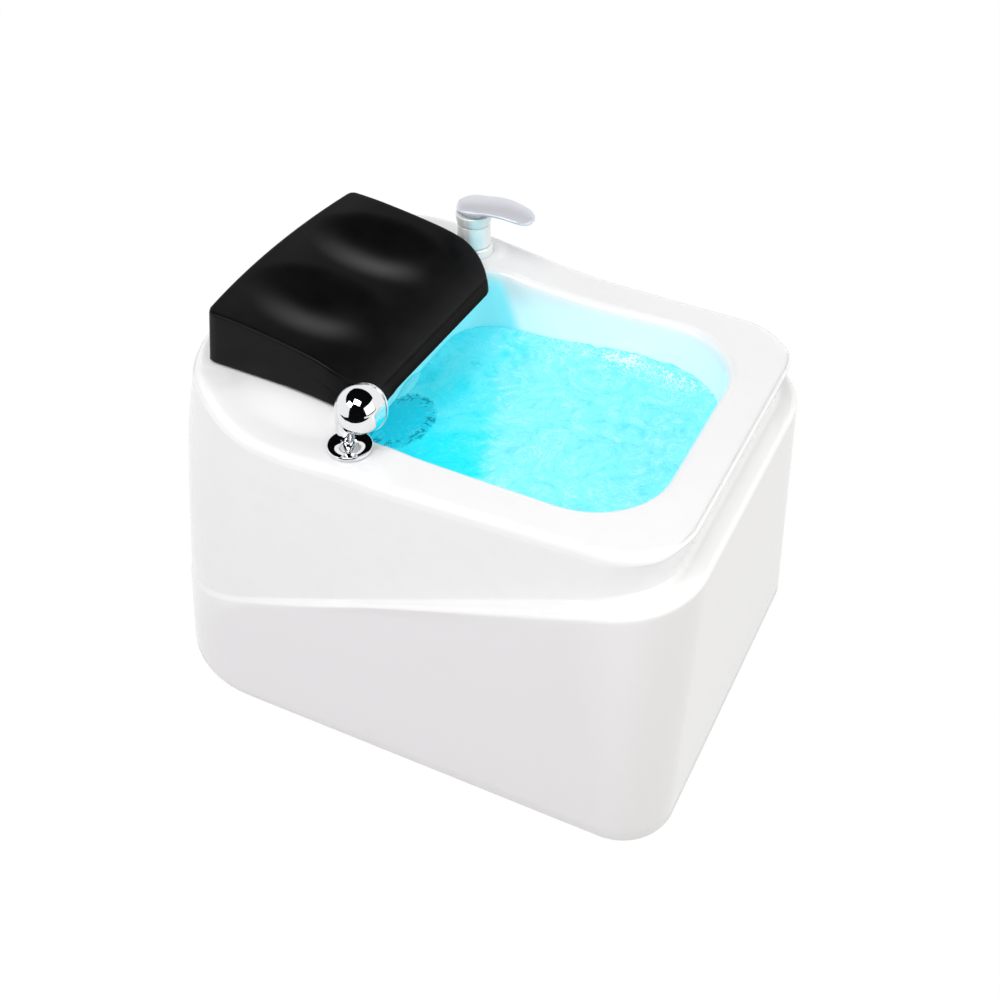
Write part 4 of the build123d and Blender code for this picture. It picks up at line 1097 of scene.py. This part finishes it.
def waterHeight(x, y):
    spot = Vector((x, y, 0))
    (middleX, middleY), (sizeX, sizeY) = water["swellSpot"], water["swellSize"]
    away = math.hypot((x - middleX) / sizeX, (y - middleY) / sizeY)
    swell = water["swell"] * math.exp(-away * away)
    lively = water["calm"] + (1 - water["calm"]) * ease(x + 0.3 * y, *water["livelyFrom"])
    drift = [noise.noise(spot * water["warpPitch"] + Vector(start)) for start in ((3, 1, 5), (8, 4, 2))]
    warp = Vector((*drift, 0)) * water["warp"]
    wave = noise.noise((spot + warp) * water["wavePitch"]) * water["wave"]
    chop = (abs(noise.noise((spot + warp * 2) * water["chopPitch"])) - water["chopLevel"]) * water["chop"]
    fine = noise.noise((spot + warp * 3) * water["finePitch"]) * water["fine"]
    froth = abs(noise.noise(spot * water["frothPitch"])) * water["froth"]
    return waterline + swell * (water["swellShown"] + froth) + (wave - chop + fine) * lively


def onWater(spot):
    return Vector((spot.x, spot.y, waterHeight(spot.x, spot.y)))


def makeWater():
    inset, levels = water["inset"], water["levels"]
    bottom = well["floor"] + water["floorGap"]
    corner = [floorArc(bottom, angle, inset) for angle in reversed(quarter(water["floorSteps"], 1))]
    rings = towards(corner[0], (0.9, 0.5)) + corner
    rings += [[linePoint(line, z, -inset) for line in wellWall] for z in water["wallHeights"]]
    edge = []
    for line in wellWall:
        spot = linePoint(line, waterline, -inset)
        edge.append(linePoint(line, waterHeight(spot.x, spot.y), -inset))
    rings.append(edge)
    for ring in towards(edge, [k / levels for k in range(1, levels)]):
        rings.append([onWater(spot) for spot in ring])
    piece("litWater", lofted(rings), litWater(), "tub", ())


foam = {
    # count, middle, spread and size of each gathering, then the strays between two corners
    "gathered": ((150, (0.128, 0.148), (0.015, 0.0072), 1.0), (110, (0.196, 0.143), (0.016, 0.006), 0.75)),
    "strays": (150, (0.02, 0.252), (0.122, 0.160), 0.6), "radius": (0.0007, 0.0021), "proud": 0.2,
    "endX": 0.252, "farY": 0.1605, "cornerX": 0.200, "cornerSlope": 0.45, "seed": 11,
}


def foamSpots():
    for count, middle, spread, size in foam["gathered"]:
        for _ in range(count):
            yield random.gauss(middle[0], spread[0]), random.gauss(middle[1], spread[1]), size
    count, betweenX, betweenY, size = foam["strays"]
    for _ in range(count):
        yield random.uniform(*betweenX), random.uniform(*betweenY), size


def makeFoam():
    # bubbles gathered where the jet's stream meets the far wall
    random.seed(foam["seed"])
    recipe = Recipe("foamBubble")
    cloud = recipe.speckle(300.0)
    # painted light: the bubbles glow a little, as if lit by the lamp under the water
    material = recipe.finish(
        BaseColor=recipe.blend(cloud, (0.86, 0.99, 1, 1), (0.70, 0.96, 1, 1)), Roughness=0.12,
        EmissionColor=(0.5, 0.62, 0.63, 1), EmissionStrength=0.35, Alpha=0.72)
    mesh = bmesh.new()
    for x, y, size in foamSpots():
        x = min(x, foam["endX"])
        y = min(y, foam["farY"] - max(0.0, x - foam["cornerX"]) * foam["cornerSlope"])
        radius = random.uniform(*foam["radius"]) * size
        spot = Vector((x, y, waterHeight(x, y) + radius * foam["proud"]))
        bmesh.ops.create_icosphere(mesh, subdivisions=1, radius=radius, matrix=Matrix.Translation(spot))
    piece("foamBubbles", mesh, material, "tub", ())


makeWater()
makeFoam()
print("water built")


def underWaterWhite():
    look = {"dry": (0.86, 0.90, 0.92, 1), "worn": (0.82, 0.87, 0.89, 1), "wet": (0.12, 0.66, 0.74, 1),
            "glow": (0.03, 0.2, 0.24, 1), "wetBand": (0.060, 0.012)}
    recipe = Recipe("jetWhite")
    # painted light: below the waterline the jet is painted the cyan of the lamp-lit water, and glows
    wet = recipe.rise(recipe.axis("Z"), *(waterline + step for step in look["wetBand"]))
    cloud = recipe.speckle(60.0, detail=3.0)
    tone = recipe.blend(recipe.rise(cloud, 0.3, 0.7), look["dry"], look["worn"])
    return recipe.finish(BaseColor=recipe.blend(wet, tone, look["wet"]), Roughness=0.3,
                         EmissionColor=recipe.blend(wet, black, look["glow"]), EmissionStrength=1.0)


# finishes of the pieces that keep their CAD shape: name, colour, roughness, metal, grain and its depth
plainFinishes = {
    "frame": ("greyPowderCoat", (0.05, 0.053, 0.056, 1), 0.55, 0.0, 900.0, 0.2),
    "steel": ("zincPlate", (0.55, 0.56, 0.57, 1), 0.34, 1.0, 300.0),
    "rubber": ("blackRubber", (0.016, 0.016, 0.017, 1), 0.75, 0.0, 700.0, 0.15),
    "board": ("blackBoard", (0.022, 0.022, 0.022, 1), 0.6, 0.0, 350.0, 0.12),
    "inner": ("greyMoulding", (0.50, 0.51, 0.53, 1), 0.4, 0.0, 260.0),
    "brass": ("turnedBrass", (0.72, 0.50, 0.24, 1), 0.3, 1.0, 300.0),
    "motor": ("blackMoulding", (0.02, 0.02, 0.022, 1), 0.45, 0.0, 320.0, 0.12),
    "lens": ("clearLens", (0.60, 0.92, 0.97, 1), 0.12, 0.0, 120.0, 0.02),
    "waste": ("whiteWaste", (0.72, 0.72, 0.71, 1), 0.35, 0.0, 200.0),
    "spray": ("greyPlate", (0.16, 0.165, 0.175, 1), 0.42),
}
finishes = {slot: plainFinish(*given) for slot, given in plainFinishes.items()}
finishes.update(chrome=chrome, jet=underWaterWhite(), pad=padSkin, shell=whiteShell, casing=whiteCasing)
frame["nodes"]["footrest_base"].visible_glossy = False
for part in frame["record"]["subparts"]:
    node = frame["nodes"][part["node"]]
    for materialSlot in node.material_slots:
        materialSlot.material = finishes[part["material_slot"]]
print("finishes set")
